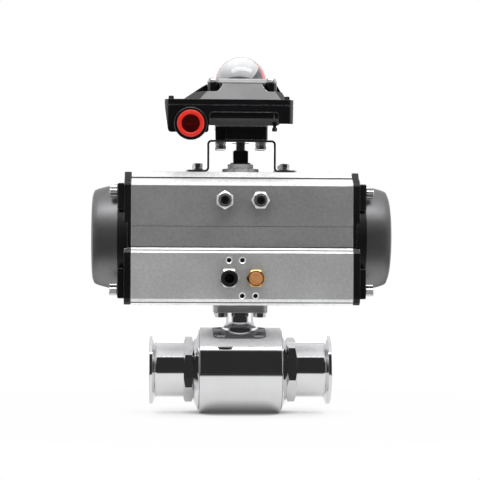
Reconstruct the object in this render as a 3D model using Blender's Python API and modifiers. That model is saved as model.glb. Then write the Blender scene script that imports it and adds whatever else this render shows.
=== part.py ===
"""Pneumatic ball valve: clamp ends, rack and pinion actuator, and a limit switch box on a bracket.

All sizes below are in millimetres and the model is built in metres, +Z up.
The origin is where the pipe axis (X) crosses the stem axis (Z). The front is -Y.
The valve is closed at rest. Turning the pinion by 90 degrees opens it and drives the pistons apart.
"""
import math

import bmesh
import bpy
from mathutils import Matrix, Vector

MM = 0.001
GAP = 0.3
TINY = 0.00001
OVER = 1.0
EDGE = 0.6
AXIS_MARK = 20.0

# Facets round large, middling and small pieces, holes and shanks
LARGE = 28
MEDIUM = 20
SMALL = 12
HOLE_SIDES = 10
SHANK_SIDES = 8
BALL_RINGS = 10
COIL_SIDES = 11

# Valve body and flow path
BODY_WALL = 5.0
BODY_PAST_SEAT = 8.0
BODY_EDGE = 0.8
BALL_ROOM = 1.0
FLOW_R = 23.75
SEAT_LIP = 0.5
SEAT_WALL = 6.2
SEAT_DEPTH = 4.3
BALL_OVER_SEAT = 3.55
SPIGOT_DEPTH = 14.0
SEAL_WALL = 2.2
SEAL_THICK = 1.7
CONE_X = 4.5
CONE_OUT = 3.9
HEX_STEP = 0.5
HEX_SINK = 0.2
HEX_OUT = 0.8
HEX_LENGTH = 9.0
TUBE_WALL = 1.65
TUBE_LENGTH = 24.5
FERRULE_OUT = 6.6
FERRULE_RIM = 2.9
FERRULE_TAPER = 1.4
FERRULE_FILLET = 2.6
FILLET_OUT = 0.8
FILLET_BACK = 0.9
GROOVE_OUT = 2.8
GROOVE_HALF = 1.0
GROOVE_DEPTH = 1.2

# Stem, neck and mounting pad
STEM_R = 7.8
STEM_COLLAR_R = 11.0
STEM_COLLAR_HEIGHT = 3.0
TANG_WIDTH = 8.0
TANG_LENGTH = 20.0
SLOT_OVER_FLOW = 3.25
NECK_R = 13.0
NECK_FLARE = 6.5
NECK_HEIGHT = 13.5
NECK_SINK = 1.0
PAD_SIDE = 49.5
PAD_CORNER = 7.0
PAD_THICK = 7.5
PACKING_WALL = 2.3
PACKING_FLOOR = 4.2
PACKING_HEIGHT = 6.7
DRIVE_SQUARE = 11.0
DRIVE_LENGTH = 16.0
MOUNT_SPACING = 35.36
MOUNT_BOLT_R = 3.0
MOUNT_BOLT_FLATS = 10.0
MOUNT_BOLT_HEAD = 4.0
MOUNT_BOLT_GRIP = 9.0

# Actuator body
ACT_HALF = 100.0
ACT_BORE_R = 46.0
FLOOR_WALL = 15.2
ROOF_WALL = 13.5
SIDE_WALL = 3.0
STEP_OUT = 4.0
STEP_UNDER_AXIS = 14.0
STEP_SLOPE = 4.5
SHOULDER_DROP = 13.0
SHOULDER_CUT = 5.5
SHOULDER_EDGE = 2.5
SHOULDER_IN = 1.0
PLATFORM_CUT = 16.0
PLATFORM_EDGE = 5.0
TOE_HEIGHT = 6.0
TOE_EDGE = 2.2
TOE_IN = 1.5
TOE_CUT = 5.0

# End caps
CAP_FLANGE = 6.0
CAP_BLOCK = 6.0
CAP_LENGTH = 36.5
CAP_ROOT_WALL = 4.4
CAP_TAPER = 7.3
CAP_SWELL = 0.62
CAP_INSET = 0.4
CAP_NOSE = 2.0
CAP_NOSE_IN = 3.5
CAP_CROWN = 0.4
CAP_WALL = 5.0
CAP_SIDE_WALL = 2.1
CAP_SCREW_EDGE = 11.0
CAP_SCREW_FROM_TOP = 18.0
CAP_SCREW_FROM_FLOOR = 13.7
CAP_SCREW_R = 3.0
CAP_SCREW_HEAD_R = 5.5
CAP_SCREW_HEAD = 6.9
CAP_SCREW_GRIP = 16.0
CAP_SCREW_KEY = 5.0
BLOCK_INWARD = 11.0
BLOCK_OUTWARD = 9.0
UPPER_BLOCK_BELOW = 17.0
UPPER_BLOCK_ABOVE = 7.0
LOWER_BLOCK_BELOW = 8.0
LOWER_BLOCK_ABOVE = 19.5

# Gear set
MODULE = 2.5
TEETH = 16
PRESSURE_ANGLE = math.radians(20.0)
ADDENDUM = 0.94
DEDENDUM = 1.22
GEAR_HALF = 17.0
OPEN_TRAVEL = math.radians(90.0)
PISTON_INNER = 40.0
PISTON_THICK = 16.0
PISTON_PLAY = 0.5
RING_WIDTH = 3.0
RING_DEPTH = 2.2
RING_FROM_FACE = 5.0
RING_PROUD = 0.2
RACK_HALF = 14.0
RACK_BACK_ROOM = 7.5
RACK_END_PLAY = 1.5
JOURNAL_R = 16.5
NECKED_R = 12.0
TOP_JOURNAL_R = 14.0
TOP_SHAFT_R = 9.5
CAM_R = 23.0
CAM_FLAT = 13.0
CAM_THICK = 10.0
STOP_UNDER_ROOF = 12.5
STOP_X = 16.0
STOP_R = 5.0
STOP_TIP_R = 2.4
STOP_TIP_LENGTH = 7.0
STOP_STICKOUT = 5.0
STOP_KEY = 5.0
STOP_NUT_FLATS = 16.0
STOP_NUT_THICK = 6.0
THRUST_R = 17.0
THRUST_THICK = 3.7
COLLAR_R = 12.0
COLLAR_HEIGHT = 4.0
SHAFT_BLOCK = 13.7
SHAFT_BLOCK_HEIGHT = 12.0
SHAFT_SLOT = 4.6
SHAFT_SLOT_DEPTH = 7.0
SPRING_ROOM = 10.0
SPRING_WIRE_R = 2.4
SPRING_TURNS = 5

# Air interface
PORT_RISE = 24.7
PORT_X = 12.0
PORT_R = 5.0
PORT_DEPTH = 9.0
PORT_HOLE_Z = 16.0
PORT_HOLE_R = 2.1
PORT_HOLE_DEPTH = 5.0
FITTING_FLATS = 15.2
FITTING_HEX = 5.5
FITTING_R = 7.1
FITTING_LENGTH = 9.0
AIR_TUBE_R = 4.1
SLEEVE_WALL = 0.9
SLEEVE_LENGTH = 6.0
RELEASE_TRAVEL = 1.5
RELEASE_R = 6.6
RELEASE_LIP = 1.8
SILENCER_FLATS = 15.0
SILENCER_HEX = 6.0
SILENCER_DISC_R = 6.2
SILENCER_RECESS = 2.5

# Bracket
SHEET = 2.0
BRACKET_TOP_HALF = 31.5
BRACKET_FOOT_HALF = 51.0
BRACKET_ROOM = 9.1
BRACKET_DEPTH = 46.0
BEND_R = 3.0
FOOT_HOLE_X = 40.0
FOOT_HOLE_EDGE = 8.0
FOOT_BOLT_R = 2.5
FOOT_BOLT_FLATS = 8.0
FOOT_BOLT_HEAD = 3.5
WASHER_R = 5.0
WASHERS = 2.3
FOOT_BOLT_GRIP = 7.0
TOP_BOLT_X = 18.6
TOP_HOLE_EDGE = 11.0
TOP_BOLT_R = 2.5
TOP_BOLT_HEAD = 3.5
TOP_BOLT_GRIP = 7.0
BRACKET_EYE_R = 9.0

# Switch box
BOX_LEFT = 69.4
BOX_RIGHT = 46.5
BOX_CORNER = 7.0
BOX_WALL = 3.5
FOOT_HALF = 24.0
FOOT_HEIGHT = 12.1
TRAY_HEIGHT = 17.5
TRAY_FLOOR = 4.0
ROOM_INSET = 8.5
POD_RIGHT = -30.8
POD_DROP = 7.0
POD_DRAFT = 3.4
SHELF_LEFT = 33.0
SHELF_RISE = 1.0
SHELF_DRAFT = 0.6
PANEL_TOP = 11.5
PANEL_FOOT = 5.8
PANEL_DEPTH = 2.0
PANEL_SLOPE = 8.0
BOSS_X = -46.0
BOSS_R = 14.9
BOSS_PROUD = 3.0
BOSS_LENGTH = 30.0
BOSS_RISE = 0.7
PLUG_R = 12.2
PLUG_BODY_R = 9.8
PLUG_HOLLOW_R = 8.2
PLUG_FLANGE = 2.0
PLUG_DEPTH = 12.0
PLUG_FLOOR = 2.5
LID_FLANGE = 5.2
LID_HEIGHT = 16.0
LID_LEFT_RUN = 18.0
LID_RIGHT_RUN = 4.0
LID_EDGE = 4.0
LID_SLOPE_Y = 10.0
LID_WALL = 3.5
LID_EYE_R = 9.0
DOME_PLATE_IN = 1.0
DOME_PLATE_CORNER = 9.0
DOME_PLATE = 3.7
DOME_PLATE_RIM = 6.6
DOME_R = 24.4
DOME_CENTRE_RISE = 2.7
DOME_WALL = 1.2
INDICATOR_ROOM = 0.4
INDICATOR_RISE = 1.6
SHAFT_REACH = 9.5
HUB_DROP = 3.0
HUB_R = 7.5
SHAFT_R = 4.1
TANG_THICK = 4.0
TANG_DEPTH = 6.4
TANG_SPAN = 11.0
CAM_DISC_R = 11.0
CAM_DISC_THICK = 5.5
CAM_LOBE = 2.0
SWITCH_ROOM = 1.4
SWITCH_DEPTH = 26.0
SWITCH_HEIGHT = 7.0

# Sizes and heights that follow from the others
BALL_R = FLOW_R + SEAT_LIP + SEAT_WALL + BALL_OVER_SEAT
SEAT_BACK = BALL_R - SEAT_DEPTH
SPIGOT_LIP_X = BALL_R - SPIGOT_DEPTH
SLOT_FLOOR = FLOW_R + SLOT_OVER_FLOW
BODY_HALF = SEAT_BACK + BODY_PAST_SEAT
TUBE_R = FLOW_R + TUBE_WALL
CONE_END_R = TUBE_R + CONE_OUT
HEX_FLATS = 2 * (TUBE_R + HEX_OUT)
FERRULE_R = TUBE_R + FERRULE_OUT
GROOVE_R = TUBE_R + GROOVE_OUT
BODY_BORE_R = BALL_R + BALL_ROOM
BODY_R = BODY_BORE_R + BODY_WALL
SPIGOT_R = BODY_BORE_R - GAP
FLANGE_X = BODY_HALF + GAP
HEX_START_X = FLANGE_X + CONE_X + HEX_STEP
TUBE_START_X = HEX_START_X + HEX_LENGTH
END_X = TUBE_START_X + TUBE_LENGTH + FERRULE_FILLET + FERRULE_TAPER + FERRULE_RIM
PAD_BOTTOM = BODY_R + NECK_HEIGHT
PAD_TOP = PAD_BOTTOM + PAD_THICK
STEM_COLLAR_BOTTOM = BALL_R + BALL_ROOM + OVER
STEM_COLLAR_TOP = STEM_COLLAR_BOTTOM + STEM_COLLAR_HEIGHT
COLLAR_CEILING = STEM_COLLAR_TOP + GAP
PACKING_BOTTOM = COLLAR_CEILING + PACKING_FLOOR
PACKING_R = STEM_R + GAP + PACKING_WALL
ACT_BOTTOM = PAD_TOP + GAP
ACT_BORE_RISE = FLOOR_WALL + ACT_BORE_R
ACT_HEIGHT = ACT_BORE_RISE + ACT_BORE_R + ROOF_WALL
ACT_TOP = ACT_BOTTOM + ACT_HEIGHT
ACT_AXIS = ACT_BOTTOM + ACT_BORE_RISE
UPPER_DEPTH = ACT_BORE_R + SIDE_WALL
LOWER_DEPTH = UPPER_DEPTH + STEP_OUT
STOP_Z = ACT_AXIS + ACT_BORE_R - STOP_UNDER_ROOF
CAP_SCREW_Y = UPPER_DEPTH - CAP_SCREW_EDGE
CAP_SCREW_UP = ACT_HEIGHT - ACT_BORE_RISE - CAP_SCREW_FROM_TOP
CAP_SCREW_DOWN = ACT_BORE_RISE - CAP_SCREW_FROM_FLOOR
CAP_ROOT_R = ACT_BORE_R + CAP_ROOT_WALL
CAP_TIP_R = CAP_ROOT_R - CAP_TAPER
CAP_HOLLOW_R = CAP_TIP_R - CAP_SIDE_WALL
SPRING_R = CAP_HOLLOW_R - SPRING_ROOM
PORT_Z = ACT_BOTTOM + PORT_RISE
DRIVE_TOP = PAD_TOP + DRIVE_LENGTH
CAP_START = ACT_HALF + GAP
CAP_END = ACT_HALF + CAP_LENGTH
CAP_FACE = CAP_START + CAP_FLANGE + CAP_BLOCK
PISTON_R = ACT_BORE_R - PISTON_PLAY
RACK_BACK = PISTON_R - RACK_BACK_ROOM
PITCH_R = MODULE * TEETH / 2
THRUST_BOTTOM = ACT_TOP + GAP
COLLAR_BOTTOM = THRUST_BOTTOM + THRUST_THICK + GAP
BLOCK_BOTTOM = COLLAR_BOTTOM + COLLAR_HEIGHT + GAP
PINION_TOP = BLOCK_BOTTOM + SHAFT_BLOCK_HEIGHT
FOOT_BOTTOM = ACT_TOP + GAP
BRACKET_TOP = PINION_TOP + BRACKET_ROOM
BOX_BOTTOM = BRACKET_TOP + GAP
TRAY_BOTTOM = BOX_BOTTOM + FOOT_HEIGHT
TRAY_INSIDE = TRAY_BOTTOM + TRAY_FLOOR
TRAY_TOP = TRAY_BOTTOM + TRAY_HEIGHT
LID_BOTTOM = TRAY_TOP + GAP
LID_SHOULDER = LID_BOTTOM + LID_FLANGE
LID_TOP = LID_SHOULDER + LID_HEIGHT
DOME_BOTTOM = LID_TOP + GAP
INDICATOR_BOTTOM = DOME_BOTTOM + INDICATOR_RISE
SHAFT_TOP = INDICATOR_BOTTOM + SHAFT_REACH
DOME_CENTRE = DOME_BOTTOM + DOME_CENTRE_RISE
BOSS_Z = TRAY_BOTTOM + BOSS_RISE
DOME_PLATE_HALF = DOME_R + DOME_PLATE_RIM
LID_TOP_HALF = DOME_PLATE_HALF + DOME_PLATE_IN
LID_BASE_LEFT = LID_TOP_HALF + LID_LEFT_RUN
LID_BASE_RIGHT = LID_TOP_HALF + LID_RIGHT_RUN
BOX_DEPTH_HALF = LID_TOP_HALF + LID_SLOPE_Y + LID_EDGE
BOSS_FRONT = BOX_DEPTH_HALF + BOSS_PROUD
FOOT_HOLE_Y = BRACKET_DEPTH / 2 - FOOT_HOLE_EDGE
TOP_BOLT_Y = TOP_HOLE_EDGE - BRACKET_DEPTH / 2

# Local Z of a turned piece, or the outline's plane of an extruded one, in the world
UPRIGHT = (0.0, 0.0, 0.0)
ALONG_X = (0.0, math.pi / 2, 0.0)
AGAINST_X = (0.0, -math.pi / 2, 0.0)
TO_FRONT = (math.pi / 2, 0.0, 0.0)
PROFILE_YZ = (math.pi / 2, 0.0, math.pi / 2)
TO_RIGHT = 0.0
TO_LEFT = math.pi

LOOKS = {
    "polished_steel": ((0.80, 0.80, 0.82), 0.08, 1.0),
    "zinc_steel": ((0.62, 0.62, 0.64), 0.25, 1.0),
    "blasted_aluminium": ((0.42, 0.43, 0.45), 0.55, 0.8),
    "dark_paint": ((0.03, 0.03, 0.035), 0.40, 0.2),
    "black_plastic": ((0.02, 0.02, 0.022), 0.25, 0.0),
    "grey_plastic": ((0.30, 0.31, 0.32), 0.45, 0.0),
    "white_seal": ((0.85, 0.85, 0.82), 0.45, 0.0),
    "black_rubber": ((0.02, 0.02, 0.02), 0.80, 0.0),
    "dark_steel": ((0.10, 0.10, 0.11), 0.35, 1.0),
    "spring_steel": ((0.25, 0.25, 0.27), 0.35, 1.0),
    "nickel": ((0.68, 0.66, 0.62), 0.18, 1.0),
    "brass": ((0.72, 0.52, 0.24), 0.28, 1.0),
    "sintered_bronze": ((0.45, 0.32, 0.16), 0.75, 1.0),
    "clear_plastic": ((0.92, 0.94, 0.95), 0.04, 0.0),
    "red_plastic": ((0.75, 0.03, 0.03), 0.35, 0.0),
}


def clear_scene():
    """Remove every object, so that the script can run from a file that has some."""
    for obj in list(bpy.data.objects):
        bpy.data.objects.remove(obj, do_unlink=True)


def new_collection(name):
    """Link a new collection to the scene."""
    group = bpy.data.collections.new(name)
    bpy.context.scene.collection.children.link(group)
    return group


clear_scene()
PARTS = new_collection("pneumatic_ball_valve")
TOOLS = new_collection("cutters")


def axis_empty(name, at):
    """A plain empty on the axis that its children move on."""
    empty = bpy.data.objects.new(name, None)
    empty.location = Vector(at) * MM
    empty.empty_display_size = AXIS_MARK * MM
    TOOLS.objects.link(empty)
    return empty


STEM_AXIS = axis_empty("stem_axis", (0, 0, 0))
PISTON_AXIS = axis_empty("piston_axis", (0, 0, ACT_AXIS))


def paint(obj, look):
    """Give the object a material of its own with the look's colour, roughness and metallic value."""
    colour, roughness, metallic = LOOKS[look]
    material = bpy.data.materials.new(f"{obj.name} {look}")
    material.use_nodes = True
    shader = material.node_tree.nodes["Principled BSDF"]
    shader.inputs["Base Color"].default_value = (*colour, 1.0)
    shader.inputs["Roughness"].default_value = roughness
    shader.inputs["Metallic"].default_value = metallic
    material.diffuse_color = (*colour, 1.0)
    if obj.data.materials:
        obj.material_slots[0].link = "OBJECT"
        obj.material_slots[0].material = material
    else:
        obj.data.materials.append(material)


def place(name, mesh, look=None, at=(0, 0, 0), turn=UPRIGHT, parent=None):
    """Add a part, or a cutter where it has no look, at a place in millimetres."""
    obj = bpy.data.objects.new(name, mesh)
    obj.location = Vector(at) * MM
    obj.rotation_euler = turn
    if look:
        PARTS.objects.link(obj)
        paint(obj, look)
    else:
        TOOLS.objects.link(obj)
        obj.hide_render = True
        obj.display_type = "WIRE"
    if parent:
        obj.location = obj.location - parent.location
        obj.parent = parent
    return obj


def finished(bm, name):
    """Turn the built faces into a smooth shaded mesh that faces out."""
    bmesh.ops.recalc_face_normals(bm, faces=bm.faces)
    mesh = bpy.data.meshes.new(name)
    bm.to_mesh(mesh)
    bm.free()
    mesh.shade_smooth()
    mesh.set_sharp_from_angle(angle=math.radians(35))
    return mesh


def rods(name, specs):
    """One mesh of round or many-sided rods, each (start, end, radius, sides)."""
    bm = bmesh.new()
    for start, end, radius, sides in specs:
        run = Vector(end) - Vector(start)
        turn = Vector((0, 0, 1)).rotation_difference(run).to_matrix().to_4x4()
        middle = (Vector(start) + Vector(end)) / 2 * MM
        bmesh.ops.create_cone(
            bm, cap_ends=True, segments=sides, radius1=radius * MM, radius2=radius * MM,
            depth=run.length * MM, matrix=Matrix.Translation(middle) @ turn)
    return finished(bm, name)


def boxes(name, specs):
    """One mesh of boxes, each (low corner, high corner)."""
    bm = bmesh.new()
    for low, high in specs:
        size = (Vector(high) - Vector(low)) * MM
        middle = (Vector(high) + Vector(low)) / 2 * MM
        scale = Matrix.Diagonal((*size, 1.0))
        bmesh.ops.create_cube(bm, size=1.0, matrix=Matrix.Translation(middle) @ scale)
    return finished(bm, name)


def tapered_box(name, low_rect, high_rect, bottom, top):
    """A box whose bottom and top are unlike rectangles, each (left, right, front, back)."""
    bm = bmesh.new()
    bmesh.ops.create_cube(bm, size=2.0)
    for vert in bm.verts:
        left, right, front, back = low_rect if vert.co.z < 0 else high_rect
        height = bottom if vert.co.z < 0 else top
        across = left if vert.co.x < 0 else right
        along = front if vert.co.y < 0 else back
        vert.co = Vector((across, along, height)) * MM
    return finished(bm, name)


def extruded(name, outline, thick):
    """A flat outline in local X and Y, made solid by half its thickness to each side."""
    curve = bpy.data.curves.new(name, "CURVE")
    curve.dimensions = "2D"
    curve.fill_mode = "BOTH"
    curve.extrude = thick / 2 * MM
    spline = curve.splines.new("POLY")
    spline.points.add(len(outline) - 1)
    for point, (across, up) in zip(spline.points, outline):
        point.co = (across * MM, up * MM, 0.0, 1.0)
    spline.use_cyclic_u = True
    guide = bpy.data.objects.new(name, curve)
    TOOLS.objects.link(guide)
    depsgraph = bpy.context.evaluated_depsgraph_get()
    mesh = bpy.data.meshes.new_from_object(guide.evaluated_get(depsgraph))
    bpy.data.objects.remove(guide, do_unlink=True)
    bm = bmesh.new()
    bm.from_mesh(mesh)
    bmesh.ops.remove_doubles(bm, verts=bm.verts, dist=TINY)
    return finished(bm, name)


def turned(name, profile, look=None, at=(0, 0, 0), turn=UPRIGHT, parent=None, steps=MEDIUM, ring=False):
    """Turn a profile of (radius, height) points about local Z, given down its outer side."""
    bm = bmesh.new()
    verts = [bm.verts.new((radius * MM, 0.0, height * MM)) for radius, height in profile]
    for first, second in zip(verts, verts[1:]):
        bm.edges.new((first, second))
    if ring:
        bm.edges.new((verts[-1], verts[0]))
    mesh = bpy.data.meshes.new(name)
    bm.to_mesh(mesh)
    bm.free()
    obj = place(name, mesh, look, at, turn, parent)
    screw = obj.modifiers.new("Turn", "SCREW")
    screw.axis = "Z"
    screw.angle = math.tau
    screw.steps = steps
    screw.render_steps = steps
    screw.use_merge_vertices = True
    screw.merge_threshold = TINY
    screw.use_smooth_shade = True
    return obj


def washer(name, inner, outer, low, high, look, steps=MEDIUM, **where):
    """A plain turned ring between two heights."""
    profile = [(outer, high), (outer, low), (inner, low), (inner, high)]
    return turned(name, profile, look, steps=steps, ring=True, **where)


def combine(obj, other, operation):
    """Add a Boolean modifier that combines another object's shape with this one's."""
    boolean = obj.modifiers.new(f"{operation} {other.name}", "BOOLEAN")
    boolean.operation = operation
    boolean.object = other
    boolean.solver = "EXACT"


def cut(obj, other):
    """Cut another object's shape away."""
    combine(obj, other, "DIFFERENCE")


def join(obj, other):
    """Join another object's shape on."""
    combine(obj, other, "UNION")


def rounded_rect(left, right, front, back, radius, steps=4):
    """The outline of a rectangle with round corners, anticlockwise."""
    points = []
    for quarter, (x, y) in enumerate(((right, back), (left, back), (left, front), (right, front))):
        centre_x = x - radius if x == right else x + radius
        centre_y = y - radius if y == back else y + radius
        for step in range(steps + 1):
            angle = (quarter + step / steps) * math.pi / 2
            points.append((centre_x + radius * math.cos(angle), centre_y + radius * math.sin(angle)))
    return points


def hexagon_r(flats):
    """The corner radius of a hexagon with this size across its flats."""
    return flats / math.sqrt(3)


def hex_rod(name, flats, bottom, top, spin=0.0):
    """A hexagonal rod mesh along local Z, with a corner on local X at no spin."""
    mesh = rods(name, [((0, 0, bottom), (0, 0, top), hexagon_r(flats), 6)])
    mesh.transform(Matrix.Rotation(spin, 4, "Z"))
    return mesh


def bolt(name, flats, head, radius, length, look, at, turn=UPRIGHT, washers=0.0):
    """A hexagon head bolt: its washers and head are below local zero and its shank runs up."""
    obj = place(name, hex_rod(name, flats, -head - washers, -washers / 2), look, at, turn)
    if washers:
        disc = rods(f"{name}_washers", [((0, 0, -washers), (0, 0, 0), WASHER_R, MEDIUM)])
        join(obj, place(f"{name}_washers", disc, at=at, turn=turn))
    shank = rods(f"{name}_shank", [((0, 0, -head / 2), (0, 0, length), radius, SHANK_SIDES)])
    join(obj, place(f"{name}_shank", shank, at=at, turn=turn))
    return obj


def ball_touch(radius):
    """How far along the pipe a surface one gap off the ball lies at this radius."""
    return math.sqrt((BALL_R + GAP) ** 2 - radius ** 2)


def valve_body():
    """The round body with its neck and its square mounting pad."""
    outer = BODY_HALF - BODY_EDGE
    profile = [(0, BODY_HALF), (BODY_R - BODY_EDGE, BODY_HALF), (BODY_R, outer), (BODY_R, -outer),
               (BODY_R - BODY_EDGE, -BODY_HALF), (0, -BODY_HALF)]
    body = turned("valve_body", profile, "polished_steel", turn=ALONG_X, steps=LARGE)
    flare = [(NECK_R + NECK_FLARE - NECK_FLARE * math.cos(angle),
              BODY_R + NECK_FLARE - NECK_SINK - NECK_FLARE * math.sin(angle))
             for angle in (math.radians(step) for step in (0, 30, 60, 90))]
    neck = [(0, PAD_BOTTOM + OVER), (NECK_R, PAD_BOTTOM + OVER), *flare,
            (NECK_R + NECK_FLARE, BALL_R / 2), (0, BALL_R / 2)]
    join(body, turned("neck", neck))
    half = PAD_SIDE / 2
    pad = extruded("pad", rounded_rect(-half, half, -half, half, PAD_CORNER), PAD_THICK)
    join(body, place("pad", pad, at=(0, 0, PAD_BOTTOM + PAD_THICK / 2)))
    seal_r = SPIGOT_R + GAP + SEAL_WALL + GAP
    seal_x = BODY_HALF - SEAL_THICK - GAP
    cavity = [(0, BODY_HALF + OVER), (seal_r, BODY_HALF + OVER), (seal_r, seal_x), (BODY_BORE_R, seal_x),
              (BODY_BORE_R, -seal_x), (seal_r, -seal_x), (seal_r, -BODY_HALF - OVER),
              (0, -BODY_HALF - OVER)]
    cut(body, turned("body_cavity", cavity, turn=ALONG_X, steps=LARGE))
    collar_r = STEM_COLLAR_R + GAP
    chamber_r = PACKING_R + GAP
    stem_room = [(0, PAD_TOP + OVER), (chamber_r, PAD_TOP + OVER), (chamber_r, PACKING_BOTTOM),
                 (STEM_R + GAP, PACKING_BOTTOM), (STEM_R + GAP, COLLAR_CEILING),
                 (collar_r, COLLAR_CEILING), (collar_r, BALL_R / 2), (0, BALL_R / 2)]
    cut(body, turned("stem_room", stem_room))
    cut(body, place("pad_holes", rods("pad_holes", [
        ((x, y, PAD_BOTTOM - OVER), (x, y, PAD_TOP + OVER), MOUNT_BOLT_R + GAP, HOLE_SIDES)
        for x, y in mount_places()])))


def mount_places():
    """The four mounting bolts round the stem."""
    half = MOUNT_SPACING / 2
    return [(-half, -half), (half, -half), (-half, half), (half, half)]


def ball():
    """The ball with its passage, across the pipe while closed, and the slot for the stem."""
    bm = bmesh.new()
    bmesh.ops.create_uvsphere(bm, u_segments=MEDIUM, v_segments=BALL_RINGS, radius=BALL_R * MM)
    obj = place("ball", finished(bm, "ball"), "polished_steel", parent=STEM_AXIS)
    passage = rods("ball_passage", [((0, -BALL_R - OVER, 0), (0, BALL_R + OVER, 0), FLOW_R, LARGE)])
    cut(obj, place("ball_passage", passage))
    side = TANG_WIDTH / 2 + GAP
    slot = boxes("ball_slot", [((-BALL_R, -side, SLOT_FLOOR), (BALL_R, side, BALL_R + OVER))])
    cut(obj, place("ball_slot", slot))


def flow_parts():
    """Both seats, seals and end fittings."""
    for side, turn, spin in (("left", AGAINST_X, math.radians(0)), ("right", ALONG_X, math.radians(-15))):
        inner = FLOW_R + SEAT_LIP
        outer = inner + SEAT_WALL
        arc = [inner + SEAT_WALL * step / 3 for step in range(4)]
        seat = [(outer, SEAT_BACK), *((radius, ball_touch(radius)) for radius in reversed(arc)),
                (inner, SEAT_BACK)]
        turned(f"{side}_seat", seat, "white_seal", turn=turn, steps=LARGE, ring=True)
        low = BODY_HALF - SEAL_THICK
        washer(f"{side}_body_seal", SPIGOT_R + GAP, SPIGOT_R + GAP + SEAL_WALL, low, BODY_HALF,
               "white_seal", turn=turn, steps=LARGE)
        end_fitting(f"{side}_end_fitting", turn, spin, outer + GAP)


def end_fitting(name, turn, spin, pocket_r):
    """The end piece: spigot, cone, hexagon, tube and clamp ferrule."""
    rim = END_X - FERRULE_RIM
    fillet = rim - FERRULE_TAPER
    mid_r = (TUBE_R + FERRULE_R) / 2
    profile = [(0, END_X), (GROOVE_R - GROOVE_HALF, END_X), (GROOVE_R, END_X - GROOVE_DEPTH),
               (GROOVE_R + GROOVE_HALF, END_X), (FERRULE_R, END_X), (FERRULE_R, rim), (mid_r, fillet),
               (TUBE_R + FILLET_OUT, fillet - FILLET_BACK), (TUBE_R, fillet - FERRULE_FILLET),
               (TUBE_R, HEX_START_X), (CONE_END_R, HEX_START_X - HEX_STEP),
               (BODY_R - BODY_EDGE, FLANGE_X), (SPIGOT_R, FLANGE_X), (SPIGOT_R, SPIGOT_LIP_X),
               (0, SPIGOT_LIP_X)]
    fitting = turned(name, profile, "polished_steel", turn=turn, steps=LARGE)
    hexagon = hex_rod(f"{name}_hex", HEX_FLATS, HEX_START_X - HEX_SINK, TUBE_START_X, spin)
    join(fitting, place(f"{name}_hex", hexagon, turn=turn))
    bore = [(0, END_X + OVER), (FLOW_R, END_X + OVER), (FLOW_R, SEAT_BACK + GAP),
            (pocket_r, SEAT_BACK + GAP), (pocket_r, SPIGOT_LIP_X - OVER), (0, SPIGOT_LIP_X - OVER)]
    cut(fitting, turned(f"{name}_bore", bore, turn=turn, steps=LARGE))


def stem_parts():
    """The stem and what seals it in the neck."""
    profile = [(0, PAD_TOP), (STEM_R, PAD_TOP), (STEM_R, STEM_COLLAR_TOP),
               (STEM_COLLAR_R, STEM_COLLAR_TOP), (STEM_COLLAR_R, STEM_COLLAR_BOTTOM),
               (0, STEM_COLLAR_BOTTOM)]
    stem = turned("valve_stem", profile, "zinc_steel", parent=STEM_AXIS)
    half = DRIVE_SQUARE / 2
    side = TANG_WIDTH / 2
    reach = TANG_LENGTH / 2
    join(stem, place("stem_square", boxes("stem_square", [
        ((-half, -half, PAD_TOP - OVER), (half, half, DRIVE_TOP))])))
    join(stem, place("stem_tang", boxes("stem_tang", [
        ((-reach, -side, SLOT_FLOOR + GAP), (reach, side, STEM_COLLAR_BOTTOM + OVER))])))
    inner = STEM_R + GAP
    low = PACKING_BOTTOM + GAP
    washer("stem_packing", inner, PACKING_R, low, low + PACKING_HEIGHT, "white_seal")
    low = low + PACKING_HEIGHT + GAP
    washer("packing_gland", inner, PACKING_R, low, PAD_TOP - GAP, "zinc_steel")


def mount_bolts():
    """The bolts that hold the actuator on the valve's pad, heads below."""
    for number, (x, y) in enumerate(mount_places(), 1):
        bolt(f"mount_bolt_{number}", MOUNT_BOLT_FLATS, MOUNT_BOLT_HEAD, MOUNT_BOLT_R,
             PAD_THICK + GAP + MOUNT_BOLT_GRIP, "zinc_steel", (x, y, PAD_BOTTOM - GAP))


def actuator_outline(inset=0.0):
    """The extrusion's outline in Y and height, front and back alike."""
    top = ACT_HEIGHT - inset
    upper = UPPER_DEPTH - inset
    lower = LOWER_DEPTH - inset
    platform = UPPER_DEPTH - PLATFORM_CUT
    shoulder = ACT_HEIGHT - SHOULDER_DROP
    step = ACT_BORE_RISE - STEP_UNDER_AXIS
    half = [(platform, top), (platform + PLATFORM_EDGE, top - PLATFORM_EDGE),
            (upper - SHOULDER_CUT + SHOULDER_IN, shoulder + SHOULDER_CUT),
            (upper - SHOULDER_IN, shoulder + SHOULDER_EDGE), (upper, shoulder),
            (upper, step + STEP_SLOPE), (lower, step), (lower, inset + TOE_HEIGHT),
            (lower - TOE_IN, inset + TOE_EDGE), (lower - TOE_CUT, inset)]
    return [(-y, z) for y, z in half] + [(y, z) for y, z in reversed(half)]


def cap_screw_places():
    """Each end cap's screws, as Y and height from the bore's axis."""
    return [(y, z) for z in (CAP_SCREW_UP, -CAP_SCREW_DOWN) for y in (-CAP_SCREW_Y, CAP_SCREW_Y)]


def port_holes():
    """The air interface's tapped holes, as X and height from its centre."""
    return [(-PORT_X, PORT_HOLE_Z), (0, PORT_HOLE_Z), (0, -PORT_HOLE_Z), (PORT_X, -PORT_HOLE_Z)]


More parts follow.
